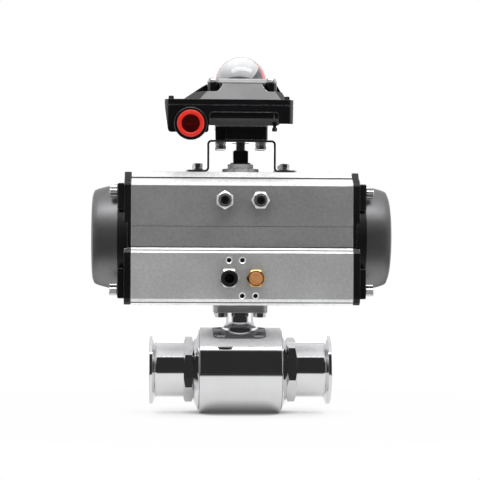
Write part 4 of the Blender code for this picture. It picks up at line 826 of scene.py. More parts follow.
# The black plastic's edge mask paints light lines along its edges as painted highlights, and its rim share paints a
# sheen at grazing angles.
GLOSS_BLACK = Finish("black_plastic", (0.006, 0.006, 0.007), roughness=0.16, dull=0.10, tint=0.2,
                     speckle_fineness=700.0, speckle_depth=2.5e-6, coat=0.35, coat_roughness=0.06, smear=26.0,
                     wear_and_highlight=0.8, wear_and_highlight_width=0.0006, worn_and_highlight_colour=(0.45, 0.45, 0.46), rim=0.8)
BLACK_SCREW = Finish("dark_steel", (0.03, 0.03, 0.032), metallic=0.85, roughness=0.26, dull=0.10, tint=0.15,
                     lay=Lay.ROUND_STEM, line_fineness=2400.0, line_depth=2e-6, line_tint=0.12, wear_and_highlight=0.35)
BLACK_FITTING = Finish("black_plastic", (0.004, 0.004, 0.0045), roughness=0.46, dull=0.12, tint=0.15,
                       speckle_fineness=1500.0, speckle_depth=5e-6, speckle_tint=0.08)
GREY_PLASTIC = Finish("grey_plastic", (0.30, 0.30, 0.305), roughness=0.42, dull=0.12, tint=0.08,
                      speckle_fineness=1600.0, speckle_depth=8e-6, speckle_tint=0.08)
PALE_PLASTIC = Finish("white_seal", (0.62, 0.62, 0.61), roughness=0.38, dull=0.12, tint=0.06,
                      speckle_fineness=1500.0, speckle_depth=6e-6, speckle_tint=0.04)
SEAL_WHITE = Finish("white_seal", (0.78, 0.77, 0.74), roughness=0.42, dull=0.10, tint=0.06, lay=Lay.ROUND_PIPE,
                    line_fineness=2000.0, line_depth=3e-6, line_tint=0.05, speckle_fineness=1200.0,
                    speckle_depth=4e-6)
RUBBER = Finish("black_rubber", (0.02, 0.02, 0.02), roughness=0.62, dull=0.14, tint=0.2,
                speckle_fineness=1800.0, speckle_depth=1e-5, speckle_tint=0.12)
DARK_STEEL = Finish("dark_steel", (0.20, 0.20, 0.21), metallic=1.0, roughness=0.30, dull=0.12, tint=0.15,
                    lay=Lay.ROUND_STEM, line_fineness=1900.0, line_depth=4e-6, line_tint=0.12, wear_and_highlight=0.4)
SPRING_STEEL = Finish("spring_steel", (0.30, 0.31, 0.34), metallic=1.0, roughness=0.28, dull=0.12, tint=0.14,
                      speckle_fineness=1500.0, speckle_depth=6e-6, speckle_tint=0.14)
NICKEL = Finish("nickel", (0.66, 0.65, 0.62), metallic=1.0, roughness=0.14, dull=0.08, tint=0.06,
                lay=Lay.ROUND_PORT, line_fineness=2600.0, line_depth=1e-6, line_tint=0.05)
BRASS = Finish("brass", (0.80, 0.50, 0.17), metallic=1.0, roughness=0.18, dull=0.10, tint=0.10,
               lay=Lay.ROUND_PORT, line_fineness=2600.0, line_depth=2e-6, line_tint=0.06, wear_and_highlight=0.25,
               worn_and_highlight_colour=(0.95, 0.74, 0.40))
BRONZE = Sinter("sintered_bronze", (0.90, 0.42, 0.17), metallic=0.45, roughness=0.45, dull=0.08, tint=0.08)
RED_PLUG = Hollow("red_plastic", (0.82, 0.032, 0.018), roughness=0.30, dull=0.10, tint=0.10,
                  speckle_fineness=1300.0, speckle_depth=5e-6, speckle_tint=0.05, coat=0.2)
# The clear plastic's rim share paints a grey sheen at grazing angles.
CLEAR = Finish("clear_plastic", (0.97, 0.975, 0.975), roughness=0.02, dull=0.03, tint=0.01, through=1.0,
               bends=1.46, speckle_fineness=300.0, speckle_depth=6e-7, rim=1.0)
FROSTED = Finish("clear_plastic", (0.97, 0.97, 0.97), roughness=0.14, dull=0.10, tint=0.03, through=0.35,
                 bends=1.46, speckle_fineness=900.0, speckle_depth=2e-6)
SIGNAL = Signal("red_plastic", (0.80, 0.80, 0.805), roughness=0.22, dull=0.08, tint=0.03, coat=0.3,
                speckle_fineness=1200.0, speckle_depth=3e-6)


@dataclass
class Stage:
    """The camera, the studio light and the pale floor."""

    eye: Place = (-65.4, -1498.6, 120.2)
    aim: Place = (0.0, 0.0, 120.2)
    middle: Place = (0.0, 0.0, 100.0)
    roll: float = math.radians(0.3)
    lens: float = 121.0
    sensor: float = 36.0
    floor_z: float = -40.0
    floor_r: float = 420.0
    dark_from: float = -27.0
    dark_to: float = 56.0
    dark_blur: float = 0.03
    room_tone: float = 0.03
    over_tone: float = 0.95
    behind_tone: float = 1.75
    strip_tone: float = 1.2

    def camera(self) -> None:
        """Stand the camera where the photograph was taken from."""
        data = bpy.data.cameras.new("camera")
        data.lens = self.lens
        data.sensor_width = self.sensor
        data.clip_end = 20.0
        camera = bpy.data.objects.new("camera", data)
        bpy.context.scene.collection.objects.link(camera)
        view = (Vector(self.aim) - Vector(self.eye)).to_track_quat("-Z", "Y").to_matrix().to_4x4()
        camera.matrix_world = Matrix.Translation(Vector(self.eye) * MM) @ view @ Matrix.Rotation(self.roll, 4, "Z")
        bpy.context.scene.camera = camera
        bpy.context.scene.view_settings.view_transform = "Standard"

    def sky(self) -> None:
        """White behind the object, with a dark room in front of it for the reflections."""
        world = bpy.data.worlds.new("studio")
        bpy.context.scene.world = world
        world.use_nodes = True
        world.node_tree.nodes.clear()
        nodes = Tree(world.node_tree)
        way = nodes.add("ShaderNodeTexCoord").outputs["Generated"]
        apart = nodes.add("ShaderNodeSeparateXYZ", {0: way})
        low = math.sin(math.radians(self.dark_from))
        high = math.sin(math.radians(self.dark_to))
        blur = self.dark_blur
        under = nodes.between(apart.outputs[2], low - blur, low + blur, 1.0, self.room_tone)
        over = nodes.between(apart.outputs[2], high - blur, high + blur, 0.0, self.over_tone)
        beside = nodes.sum("ADD", nodes.between(apart.outputs[1], -0.62, -0.36, 0.0, 0.55),
                           nodes.between(apart.outputs[1], 0.0, 0.4, 0.0, 0.20))
        behind = nodes.between(apart.outputs[1], 0.86, 0.96, 0.0, self.behind_tone)
        level = nodes.between(nodes.sum("ABSOLUTE", apart.outputs[2]), 0.30, 0.42, 1.0, 0.0)
        strips = nodes.between(nodes.sum("ABSOLUTE", apart.outputs[0]), 0.92, 0.96, 0.0,
                               nodes.sum("MULTIPLY", level, self.strip_tone))
        around = nodes.sum("MAXIMUM", beside, nodes.sum("MAXIMUM", behind, strips))
        mirrored_room = nodes.sum("MAXIMUM", nodes.sum("ADD", under, over), around)
        path = nodes.add("ShaderNodeLightPath")
        seen = nodes.sum("MAXIMUM", path.outputs["Is Camera Ray"], path.outputs["Is Transmission Ray"])
        soft_room = nodes.sum("ADD", nodes.sum("MULTIPLY", mirrored_room, 0.50), 0.10)
        strength = nodes.between(path.outputs["Is Glossy Ray"], 0.0, 1.0, soft_room, mirrored_room, smooth=False)
        strength = nodes.between(seen, 0.0, 1.0, strength, 1.0, smooth=False)
        sky = nodes.add("ShaderNodeBackground", {"Color": (1.0, 1.0, 1.0, 1.0), "Strength": strength})
        nodes.add("ShaderNodeOutputWorld", {"Surface": sky.outputs[0]})

    def lamp(self, name: str, at: Place, size: Point, watts: float, mirrored: bool = False) -> None:
        """Hang a soft lamp.

        Args:
            name: what it is called.
            at: where it hangs.
            size: its length and width.
            watts: its power.
            mirrored: whether glossy surfaces show it.
        """
        data = bpy.data.lights.new(name, "AREA")
        data.shape = "RECTANGLE"
        data.size = size[0] * MM
        data.size_y = size[1] * MM
        data.energy = watts
        lamp = bpy.data.objects.new(name, data)
        bpy.context.scene.collection.objects.link(lamp)
        view = (Vector(self.middle) - Vector(at)).to_track_quat("-Z", "Y").to_matrix().to_4x4()
        lamp.matrix_world = Matrix.Translation(Vector(at) * MM) @ view
        lamp.visible_camera = False
        lamp.visible_transmission = False
        lamp.visible_glossy = mirrored

    def floor(self) -> None:
        """Lay the luminous floor: it keeps the contact shadow and fades into the white."""
        solid = Solid.prism(arc((0.0, 0.0), self.floor_r, 0, 355, 71), self.floor_z - 2.0, self.floor_z - 0.05)
        material = bpy.data.materials.new("floor")
        material.use_nodes = True
        material.node_tree.nodes.clear()
        nodes = Tree(material.node_tree)
        place = nodes.add("ShaderNodeTexCoord").outputs["Object"]
        apart = nodes.add("ShaderNodeSeparateXYZ", {0: place})
        reach = nodes.add("ShaderNodeCombineXYZ", {0: nodes.sum("MULTIPLY", apart.outputs[0], 0.75),
                                                   1: apart.outputs[1]})
        far = nodes.add("ShaderNodeVectorMath", {0: reach.outputs[0]}, operation="LENGTH").outputs["Value"]
        fade = nodes.between(far, 0.14, 0.26)
        # Painted shadow: the contact shadow is worked out by two ambient occlusion nodes and painted into the floor's
        # glow.
        contact = nodes.add("ShaderNodeAmbientOcclusion", {"Distance": 0.024}, samples=16).outputs["AO"]
        around = nodes.add("ShaderNodeAmbientOcclusion", {"Distance": 0.11}, samples=16).outputs["AO"]
        grain = nodes.between(nodes.noise(place, 180.0, 3.0), 0.3, 0.7, 0.985, 1.0)
        shade = nodes.sum("MULTIPLY", nodes.between(contact, 0.0, 0.55, 0.12, 1.0),
                          nodes.between(around, 0.0, 0.8, 0.74, 1.0))
        shade = nodes.sum("MULTIPLY", shade, grain)
        seen = nodes.sum("MAXIMUM", shade, fade)
        tone = nodes.sum("MULTIPLY", shade, nodes.between(far, 0.16, 0.24, 0.9, 0.04))
        # Painted light: for diffuse rays the floor glows twice as strongly near the middle as far out, to light the
        # undersides.
        thrown = nodes.sum("MULTIPLY", shade, nodes.between(far, 0.10, 0.26, 2.0, 1.0))
        path = nodes.add("ShaderNodeLightPath")
        direct = nodes.sum("MAXIMUM", path.outputs["Is Camera Ray"], path.outputs["Is Transmission Ray"])
        light = nodes.between(path.outputs["Is Glossy Ray"], 0.0, 1.0, thrown, tone, smooth=False)
        light = nodes.between(direct, 0.0, 1.0, light, seen, smooth=False)
        shader = nodes.add("ShaderNodeEmission", {"Strength": light})
        nodes.add("ShaderNodeOutputMaterial", {"Surface": shader.outputs[0]})
        solid.obj.name = "floor"
        solid.obj.data.materials.append(material)

    def build(self) -> None:
        """Set up the camera, the light and the floor."""
        self.camera()
        self.sky()
        self.lamp("long softbox", (0.0, -395.0, 925.0), (1200.0, 300.0), 6.0, mirrored=True)
        self.lamp("left fill", (-900.0, -700.0, 350.0), (500.0, 700.0), 3.0)
        self.lamp("right fill", (900.0, -700.0, 350.0), (500.0, 700.0), 3.6)
        self.floor()


@dataclass
class Valve:
    """The ball valve: its body, its end fittings and the bolts under the mounting pad."""

    body_r: float = 40.0
    body_half: float = 37.7
    body_edge: float = 0.8
    bore_r: float = 35.0
    neck_r: float = 13.0
    flare: float = 6.5
    pad_half: float = 24.75
    pad_corner: float = 7.0
    pad_bottom: float = 53.5
    pad_top: float = 61.0
    stem_room_r: float = 10.7
    stem_hole_r: float = 8.1
    packing_floor: float = 42.8
    bolt_at: float = 17.68
    bolt_r: float = 3.0
    bolt_flats: float = 10.0
    bolt_head: float = 4.0
    spigot_r: float = 34.7
    spigot_x: float = 20.0
    pocket_r: float = 30.75
    pocket_x: float = 30.0
    flange_x: float = 38.0
    cone_x: float = 42.5
    cone_r: float = 29.3
    hex_x: float = 43.0
    hex_flats: float = 52.4
    tube_x: float = 52.0
    tube_r: float = 25.4
    flow_r: float = 23.75
    ferrule_r: float = 32.0
    rim_x: float = 80.5
    face_x: float = 83.4
    groove_r: float = 28.2

    def body(self) -> None:
        """Turn the round body, and set the neck and the pad on it."""
        edge = soften([(self.bore_r, self.body_half), (self.body_r, self.body_half), (self.body_r, 0)],
                      self.body_edge, 4, closed=False)
        half = [(radius, along) for radius, along in edge[:-1]]
        profile = half + [(radius, -along) for radius, along in reversed(half)]
        body = Solid.turned([(0, self.body_half), *profile, (0, -self.body_half)], steps=160).at(Heading.RIGHT)
        foot = self.body_r + self.flare - 1.0
        flare = arc((self.neck_r + self.flare, foot), self.flare, 180, 270, 10)
        neck = [(0, self.pad_top), (self.neck_r, self.pad_top), *flare,
                (self.neck_r + self.flare, 17.0), (0, 17.0)]
        outline = soften(rectangle(-self.pad_half, self.pad_half, -self.pad_half, self.pad_half),
                         self.pad_corner, 8)
        pad = Solid.prism(outline, self.pad_bottom, self.pad_top).eased(0.5)
        body.join(Solid.turned(neck, steps=96))
        body.cut(Solid.rod(self.bore_r, -self.body_half - 1, self.body_half + 1, 160).at(Heading.RIGHT))
        room = [(0, self.pad_top + 1), (self.stem_room_r, self.pad_top + 1), (self.stem_room_r, self.packing_floor),
                (self.stem_hole_r, self.packing_floor), (self.stem_hole_r, self.bore_r + 3.6),
                (11.3, self.bore_r + 3.6), (11.3, 17.0), (0, 17.0)]
        body.cut(Solid.turned(room, steps=64))
        pad.cut(Solid.rod(self.neck_r - 0.2, self.pad_bottom - 1, self.pad_top + 1, 96))
        for x, y in self.bolts():
            pad.cut(Solid.rod(self.bolt_r + GAP, self.pad_bottom - 1, self.pad_top + 1).at(place=(x, y, 0)))
        body.become("fine_valve_body", STEEL, instead_of=("valve_body",))
        pad.become("fine_mounting_pad", STEEL_BRUSHED, instead_of=("valve_body",))

    def bolts(self) -> list[Point]:
        """Where the four mounting bolts stand."""
        return [(-self.bolt_at, -self.bolt_at), (self.bolt_at, -self.bolt_at),
                (-self.bolt_at, self.bolt_at), (self.bolt_at, self.bolt_at)]

    def end(self, side: str) -> None:
        """Turn one end fitting, with its chamfered hexagon and its clamp ferrule."""
        heading = Heading.LEFT if side == "left" else Heading.RIGHT
        spin = 0.0 if side == "left" else math.radians(-15)
        back_x = self.rim_x - 1.4
        profile = [(self.flow_r, self.face_x), (self.groove_r - 1, self.face_x), (self.groove_r, self.face_x - 1.2),
                   (self.groove_r + 1, self.face_x), (self.ferrule_r, self.face_x), (self.ferrule_r, self.rim_x),
                   (28.7, back_x), (self.tube_r + 0.8, back_x - 0.9), (self.tube_r, back_x - 2.6),
                   (self.tube_r, self.hex_x), (self.cone_r, self.cone_x), (self.body_r - 0.8, self.flange_x),
                   (self.spigot_r, self.flange_x), (self.spigot_r, self.spigot_x), (self.pocket_r, self.spigot_x),
                   (self.pocket_r, self.pocket_x), (self.flow_r, self.pocket_x)]
        radii = [0.3, 0.25, 0.6, 0.25, 0.55, 0.5, 0.6, 1.2, 1.5, 0.2, 0.3, 0.3, 0.2, 0.3, 0.3, 0.2, 0.3]
        fitting = Solid.turned(soften(profile, radii, 4), ring=True, steps=160)
        nut = Solid.hexagon(self.hex_flats, self.hex_x - 0.2, self.tube_x, spin, face_share=0.505, tilt=24)
        nut.cut(Solid.rod(self.tube_r - 0.8, 0, 60, 128))
        fitting.join(nut)
        fitting.at(heading).become(f"fine_{side}_end_fitting", STEEL, instead_of=(f"{side}_end_fitting",), sharp=25)

    def build(self) -> None:
        """Build the body, both ends and the bolts."""
        self.body()
        for side in ("left", "right"):
            self.end(side)
        for number, (x, y) in enumerate(self.bolts(), 1):
            head = Solid.hexagon(self.bolt_flats, -self.bolt_head, 0, both_ends=False).flipped(2)
            head.obj.data.transform(Matrix.Translation((0, 0, -self.bolt_head * MM)))
            shank = Solid.rod(self.bolt_r, -self.bolt_head / 2, self.pad_top - self.pad_bottom + 9.3)
            head.join(shank).at(place=(x, y, self.pad_bottom - GAP))
            head.become(f"fine_mount_bolt_{number}", ZINC, instead_of=(f"mount_bolt_{number}",))
        LOG.info("valve: body, two ends and four bolts")


@dataclass
class Knurled:
    """A socket head screw: its head is above its own zero and its shank below."""

    head_r: float
    head: float
    shank_r: float
    shank: float
    key: float = 5.0
    teeth: int = 48
    mouth: float = 3.9

    def solid(self) -> Solid:
        """Cut the knurl, the chamfers and the hexagonal socket."""
        steps = self.teeth * 2
        outline = [((self.head_r - 0.14 * (step % 2)) * math.cos(math.tau * step / steps),
                    (self.head_r - 0.14 * (step % 2)) * math.sin(math.tau * step / steps)) for step in range(steps)]
        head = Solid.prism(outline, 0, self.head)
        face = self.head_r - 0.5
        head.keep(Solid.turned([(0, self.head), (face, self.head), (self.head_r + 0.1, self.head - 0.6),
                                (self.head_r + 0.1, 0.5), (face + 0.2, 0), (0, 0)], steps=SMALL_STEPS))
        head.join(Solid.rod(self.shank_r, -self.shank, 1.0, 24))
        head.cut(Solid.hexagon(self.key, self.head / 2, self.head + 1, both_ends=False),
                 Solid.turned([(0, self.head + 1), (self.mouth, self.head + 1), (self.mouth - 1, self.head - 0.35),
                               (0, self.head - 0.35)], steps=SMALL_STEPS))
        return head


@dataclass
class Actuator:
    """The rack and pinion actuator: its extruded body, its caps and all that is screwed into them."""

    half: float = 100.0
    bottom: float = 61.3
    top: float = 182.0
    axis_z: float = 122.5
    bore_r: float = 46.0
    upper_y: float = 49.0
    lower_y: float = 53.0
    lower_journal_r: float = 16.8
    upper_journal_r: float = 14.3
    slots: tuple[tuple[float, float, float, float], ...] = (
        (176.3, 1.3, 36.4, 44.0), (132.4, 0.55, 48.1, 50.0), (113.6, 1.1, 47.4, 50.0),
        (110.8, 0.9, 48.9, 54.0), (63.9, 0.9, 49.0, 54.0))
    stop_x: float = 16.0
    stop_z: float = 156.0
    stop_r: float = 5.0
    nut_flats: float = 14.8
    nut_low: float = 49.3
    nut_high: float = 55.3
    screw_end: float = 60.3
    port_x: float = 12.0
    port_z: float = 86.0
    port_r: float = 5.0
    fitting_flats: float = 16.4
    silencer_flats: float = 15.0
    tapped_r: float = 2.1
    mount_at: float = 17.68
    foot_x: float = 40.0
    foot_y: float = 15.0
    cap_start: float = 100.3
    cap_flange: float = 106.3
    cap_face: float = 112.3
    cap_nose: float = 134.5
    cap_end: float = 136.5
    cap_tip_r: float = 43.1
    cap_taper: float = 7.3
    cap_swell: float = 0.76
    hollow_r: float = 41.0
    hollow_x: float = 131.5
    screw_y: float = 38.0
    upper_screw_z: float = 164.0
    lower_screw_z: float = 75.1
    cap_screw_r: float = 3.0
    cap_head_r: float = 5.5
    cap_head: float = 6.9

    def outline(self, inset: float = 0.0) -> list[Point]:
        """The extrusion's outline in Y and height, with its corners rounded.

        Args:
            inset: how far it is drawn in, as on the end caps.

        Returns:
            The outline, anticlockwise from behind.
        """
        top, low = self.top - inset, self.bottom + inset
        upper, lower = self.upper_y - inset, self.lower_y - inset
        half = [(33.0, top), (38.0, top - 5.0), (upper - 4.5, 174.5), (upper - 1.0, 171.5), (upper, 169.0),
                (upper, 113.0), (lower, 108.5), (lower, low + 6.0), (lower - 1.5, low + 2.2), (lower - 5.0, low)]
        radii = [1.2, 0.8, 1.0, 1.6, 1.6, 0.5, 0.9, 2.0, 2.0, 1.4]
        return mirrored(soften([(0.0, top), *half, (0.0, low)], [0.0, *radii, 0.0], 3, closed=False)[1:-1])

    def body(self) -> None:
        """Extrude the body with its grooves, bore it, and drill its ports and tapped holes."""
        body = Solid.prism(self.outline(), -self.half, self.half).eased(0.8, limit=75).at(Heading.PROFILE)
        for side in (-1, 1):
            for height, high, floor, mouth in self.slots:
                slot = rectangle(*sorted((side * floor, side * mouth)), height - high / 2, height + high / 2)
                body.cut(Solid.prism(slot, -self.half - 1, self.half + 1).at(Heading.PROFILE))
        body.cut(Solid.rod(self.bore_r, -self.half - 1, self.half + 1, 128).at(Heading.RIGHT, (0, 0, self.axis_z)))
        body.cut(Solid.rod(self.lower_journal_r, self.bottom - 1, self.axis_z, 64),
                 Solid.rod(self.upper_journal_r, self.axis_z, self.top + 1, 64))
        for x in (-self.stop_x, self.stop_x):
            body.cut(Solid.rod(self.stop_r + GAP, 13, 60).at(Heading.FRONT, (x, 0, self.stop_z)))
        for x in (-self.port_x, self.port_x):
            body.cut(Solid.rod(self.port_r + GAP, self.lower_y - 9, 60).at(Heading.FRONT, (x, 0, self.port_z)))
        for x, z in self.tapped():
            wide, deep = self.tapped_r + 1.1, self.lower_y - 5
            hole = Solid.turned([(0, 60), (wide, 60), (wide, self.lower_y - 1.2),
                                 (self.tapped_r + 0.1, self.lower_y - 1.2), (self.tapped_r + 0.1, deep), (0, deep)],
                                steps=40)
            body.cut(hole.at(Heading.FRONT, (x, 0, z), 0.05))
        for x in (-self.mount_at, self.mount_at):
            for y in (-self.mount_at, self.mount_at):
                body.cut(Solid.rod(3.3, self.bottom - 1, self.bottom + 9.3, 24).at(place=(x, y, 0)))
        for x in (-self.foot_x, self.foot_x):
            for y in (-self.foot_y, self.foot_y):
                body.cut(Solid.rod(2.8, self.top - 7.3, self.top + 1, 24).at(place=(x, y, 0)))
        for side in (-1, 1):
            for y, z in self.cap_screws():
                low, high = sorted((side * (self.half + 1), side * (self.half - 16.3)))
                body.cut(Solid.rod(3.3, low, high, 24).at(Heading.RIGHT, (0, y, z)))
        body.become("fine_actuator_body", BLASTED, instead_of=("actuator_body",), sharp=28)

    def tapped(self) -> list[Point]:
        """The four small tapped holes round the two air ports, as X and Z."""
        return [(-self.port_x, 102.0), (0.0, 102.0), (0.0, 70.0), (self.port_x, 70.0)]

    def cap_screws(self) -> list[Point]:
        """The four screws of an end cap, as Y and Z."""
        return [(y, z) for z in (self.upper_screw_z, self.lower_screw_z) for y in (-self.screw_y, self.screw_y)]

    def rims(self) -> None:
        """Set a machined rim into each tapped hole, and a dark disc deep inside it as painted shade."""
        for number, (x, z) in enumerate(self.tapped(), 1):
            front = self.lower_y
            hole = self.tapped_r
            profile = [(hole, front - 4.6), (hole, front - 0.62), (hole + 0.95, front + 0.03),
                       (hole + 1.08, front + 0.03), (hole + 1.08, front - 1.15), (hole + 0.08, front - 1.15),
                       (hole + 0.08, front - 4.6)]
            rim = Solid.turned(profile, ring=True, steps=40).at(Heading.FRONT, (x, 0, z))
            rim.become(f"tapped_hole_rim_{number}", MACHINED, sharp=20)
            # Painted shade: a black disc stands for the shade deep in the hole.
            floor = Solid.rod(self.tapped_r - 0.02, front - 4.9, front - 4.0).at(Heading.FRONT, (x, 0, z))
            floor.become(f"tapped_hole_shade_{number}", RUBBER)

    def cap(self, side: str) -> None:
        """Cast one end cap: flange, four screw blocks and a hollow cone.

        Args:
            side: left or right.
        """
        name = f"{side}_end_cap"
        cap = Solid.prism(self.outline(0.4), self.cap_start, self.cap_flange).eased(0.7, limit=75)
        cap.at(Heading.PROFILE)
        run = self.cap_nose - self.cap_flange
        shares = [step / 18 for step in range(19)]
        side_line = [(self.cap_tip_r + self.cap_taper * share ** self.cap_swell, self.cap_nose - run * share)
                     for share in shares]
        crown = soften([(0, self.cap_end), (39.6, self.cap_end - 0.4), side_line[0], side_line[2]],
                       [0, 1.4, 0.7, 0], 5, closed=False)
        cone = [*crown[:-1], *side_line[2:], (50.4, 103.3), (0, 103.3)]
        cap.join(Solid.turned(cone, steps=144).at(Heading.RIGHT, (0, 0, self.axis_z)))
        for front, back in ((-47.0, -27.0), (27.0, 47.0)):
            for low, high in ((147.0, 171.0), (67.1, 94.6)):
                cap.join(Solid.block(Room(103.3, self.cap_face, front, back, low, high), 1.2))
        hollow = [(0, self.hollow_x), (self.hollow_r, self.hollow_x), (self.hollow_r, self.cap_start - 1),
                  (0, self.cap_start - 1)]
        cap.cut(Solid.turned(soften(hollow, [0, 4.0, 0, 0], 5, closed=False)).at(Heading.RIGHT, (0, 0, self.axis_z)))
        for y, z in self.cap_screws():
            cap.cut(Solid.rod(3.3, self.cap_start - 1, self.cap_face + 1, 24).at(Heading.RIGHT, (0, y, z)))
        if side == "left":
            cap.flipped(0)
        cap.become(f"fine_{name}", PAINT, instead_of=(name,), sharp=28)
        self.cap_bolts(side)

    def cap_bolts(self, side: str) -> None:
        """The four socket head screws of one end cap, with knurled heads."""
        heading = Heading.LEFT if side == "left" else Heading.RIGHT
        out = -1 if side == "left" else 1
        seat = self.cap_face + GAP
        for number, (y, z) in enumerate(self.cap_screws(), 1):
            screw = Knurled(self.cap_head_r, self.cap_head, self.cap_screw_r, seat - self.half + 16.0).solid()
            screw.at(heading, (out * seat, y, z))
            screw.become(f"fine_{side}_cap_screw_{number}", ZINC, instead_of=(f"{side}_cap_screw_{number}",))

    def stops(self) -> None:
        """The two travel stop screws, with thread rings on their ends, and their lock nuts."""
        for side, x, spin in (("left", -self.stop_x, math.radians(30)), ("right", self.stop_x, 0.0)):
            at = (x, 0, self.stop_z)
            end = self.screw_end
            profile = [(0, end), (self.stop_r - 0.8, end), (self.stop_r - 0.1, end - 0.7)]
            pitch = 1.25
            count = int((end - self.nut_low) / pitch)
            for ring in range(count):
                start = end - 0.9 - ring * pitch
                profile += [(self.stop_r, start), (self.stop_r - 0.45, start - pitch / 2)]
            profile += [(self.stop_r, 45.0), (self.stop_r, 20.3), (2.4, 20.3), (2.4, 13.3), (0, 13.3)]
            screw = Solid.turned(profile, steps=SMALL_STEPS)
            screw.cut(Solid.hexagon(5.0, end - 5.0, end + 1, both_ends=False))
            screw.at(Heading.FRONT, at).become(f"fine_{side}_stop_screw", DARK_STEEL, sharp=25,
                                               instead_of=(f"{side}_stop_screw",))
            nut = Solid.hexagon(self.nut_flats, self.nut_low, self.nut_high, spin, face_share=0.43, tilt=33)
            thread = [(0, 40.0), (self.stop_r + GAP, 40.0), (self.stop_r + GAP, self.nut_high - 0.7),
                      (self.stop_r + 1.0, self.nut_high + 0.1), (self.stop_r + 1.0, 60.0), (0, 60.0)]
            nut.cut(Solid.turned(thread, steps=SMALL_STEPS))
            nut.at(Heading.FRONT, at).become(f"fine_{side}_stop_nut", ZINC_PALE, sharp=25,
                                             instead_of=(f"{side}_stop_nut",))

    def fitting(self) -> None:
        """The push-in fitting: a plated hexagon, a black body and a collar that can be pressed."""
        at = (-self.port_x, 0, self.port_z)
        seat = self.lower_y + GAP
        nose = seat + 5.5
        mouth = nose + 9.0
        spigot = Solid.hexagon(self.fitting_flats, seat, nose, face_share=0.45, tilt=33)
        spigot.join(Solid.rod(self.port_r, 44.3, seat + 1))
        room = [(0, 70), (5.3, 70), (5.3, 60.0), (4.1, 60.0), (4.1, seat), (2.5, seat - 1), (2.5, 44), (0, 44)]
        spigot.cut(Solid.turned(room, steps=SMALL_STEPS))
        spigot.at(Heading.FRONT, at).become("fine_fitting_hexagon", NICKEL, instead_of=("air_fitting",), sharp=25)
        barrel = [(5.3, nose + 0.02), (7.1, nose + 0.02), (7.6, nose + 0.6), (7.6, nose + 2.0), (7.2, nose + 2.3),
                  (7.2, nose + 2.8), (7.6, nose + 3.1), (7.6, mouth - 0.5), (7.2, mouth), (5.3, mouth)]
        body = Solid.turned(soften(barrel, 0.25, 3), ring=True, steps=72)
        body.at(Heading.FRONT, at).become("fine_fitting_body", BLACK_FITTING, sharp=25)
        lip = mouth + 1.8
        collar = [(6.6, lip + 1.8), (6.6, lip), (5.0, lip), (5.0, mouth - 6.0), (4.1, mouth - 6.0), (4.1, lip + 1.8)]
        ring = Solid.turned(soften(collar, [0.5, 0.3, 0.2, 0.2, 0.2, 0.6], 4), ring=True, steps=72)
        ring.at(Heading.FRONT, at).become("fine_release_collar", BLACK_FITTING, body="tube_release", sharp=25,
                                          instead_of=("release_collar",))

    def silencer(self) -> None:
        """The brass silencer with its sintered disc."""
        at = (self.port_x, 0, self.port_z)
        seat = self.lower_y + GAP
        face = seat + 6.0
        brass = Solid.hexagon(self.silencer_flats, seat, face, face_share=0.47, tilt=32)
        brass.join(Solid.rod(self.port_r, 44.3, seat + 1))
        room = [(0, 70), (6.5, 70), (6.5, face - 2.5), (2.5, face - 2.5), (2.5, 44), (0, 44)]
        brass.cut(Solid.turned(room, steps=SMALL_STEPS))
        brass.at(Heading.FRONT, at).become("fine_silencer", BRASS, instead_of=("silencer",), sharp=25)
        profile = [(0, face), (4.6, face - 0.05), (6.4, face - 0.6), (6.4, face - 2.2), (0, face - 2.2)]
        disc = Solid.turned(soften(profile, [0, 1.5, 0.4, 0.1, 0], 4, closed=False), steps=72)
        disc.at(Heading.FRONT, at).become("fine_silencer_disc", BRONZE, instead_of=("silencer_disc",))

    def top_rings(self) -> None:
        """The notched thrust washer and the clear ring round the pinion's top."""
        washer = Solid.turned(soften([(9.8, 182.3), (17.0, 182.3), (17.0, 186.0), (9.8, 186.0)],
                                     [0.3, 0.5, 0.7, 0.3], 3), ring=True, steps=96)
        for number in range(8):
            washer.cut(Solid.block(Room(15.6, 18.0, -1.1, 1.1, 181, 187)).at(spin=math.tau * (number + 0.5) / 8))
        washer.become("fine_thrust_washer", PALE_PLASTIC, instead_of=("pinion_thrust_washer",))
        collar = Solid.turned(soften([(9.8, 186.3), (12.0, 186.3), (12.0, 190.3), (9.8, 190.3)], 0.4, 3),
                              ring=True, steps=96)
        collar.become("fine_pinion_collar", FROSTED, body="pinion_shaft", instead_of=("pinion_collar",))

    def build(self) -> None:
        """Build the body, the caps and everything that is screwed in."""
        self.body()
        self.rims()
        for side in ("left", "right"):
            self.cap(side)
        self.stops()
        self.fitting()
        self.silencer()
        self.top_rings()
        LOG.info("actuator: body, caps, screws, stops, ports and rings")


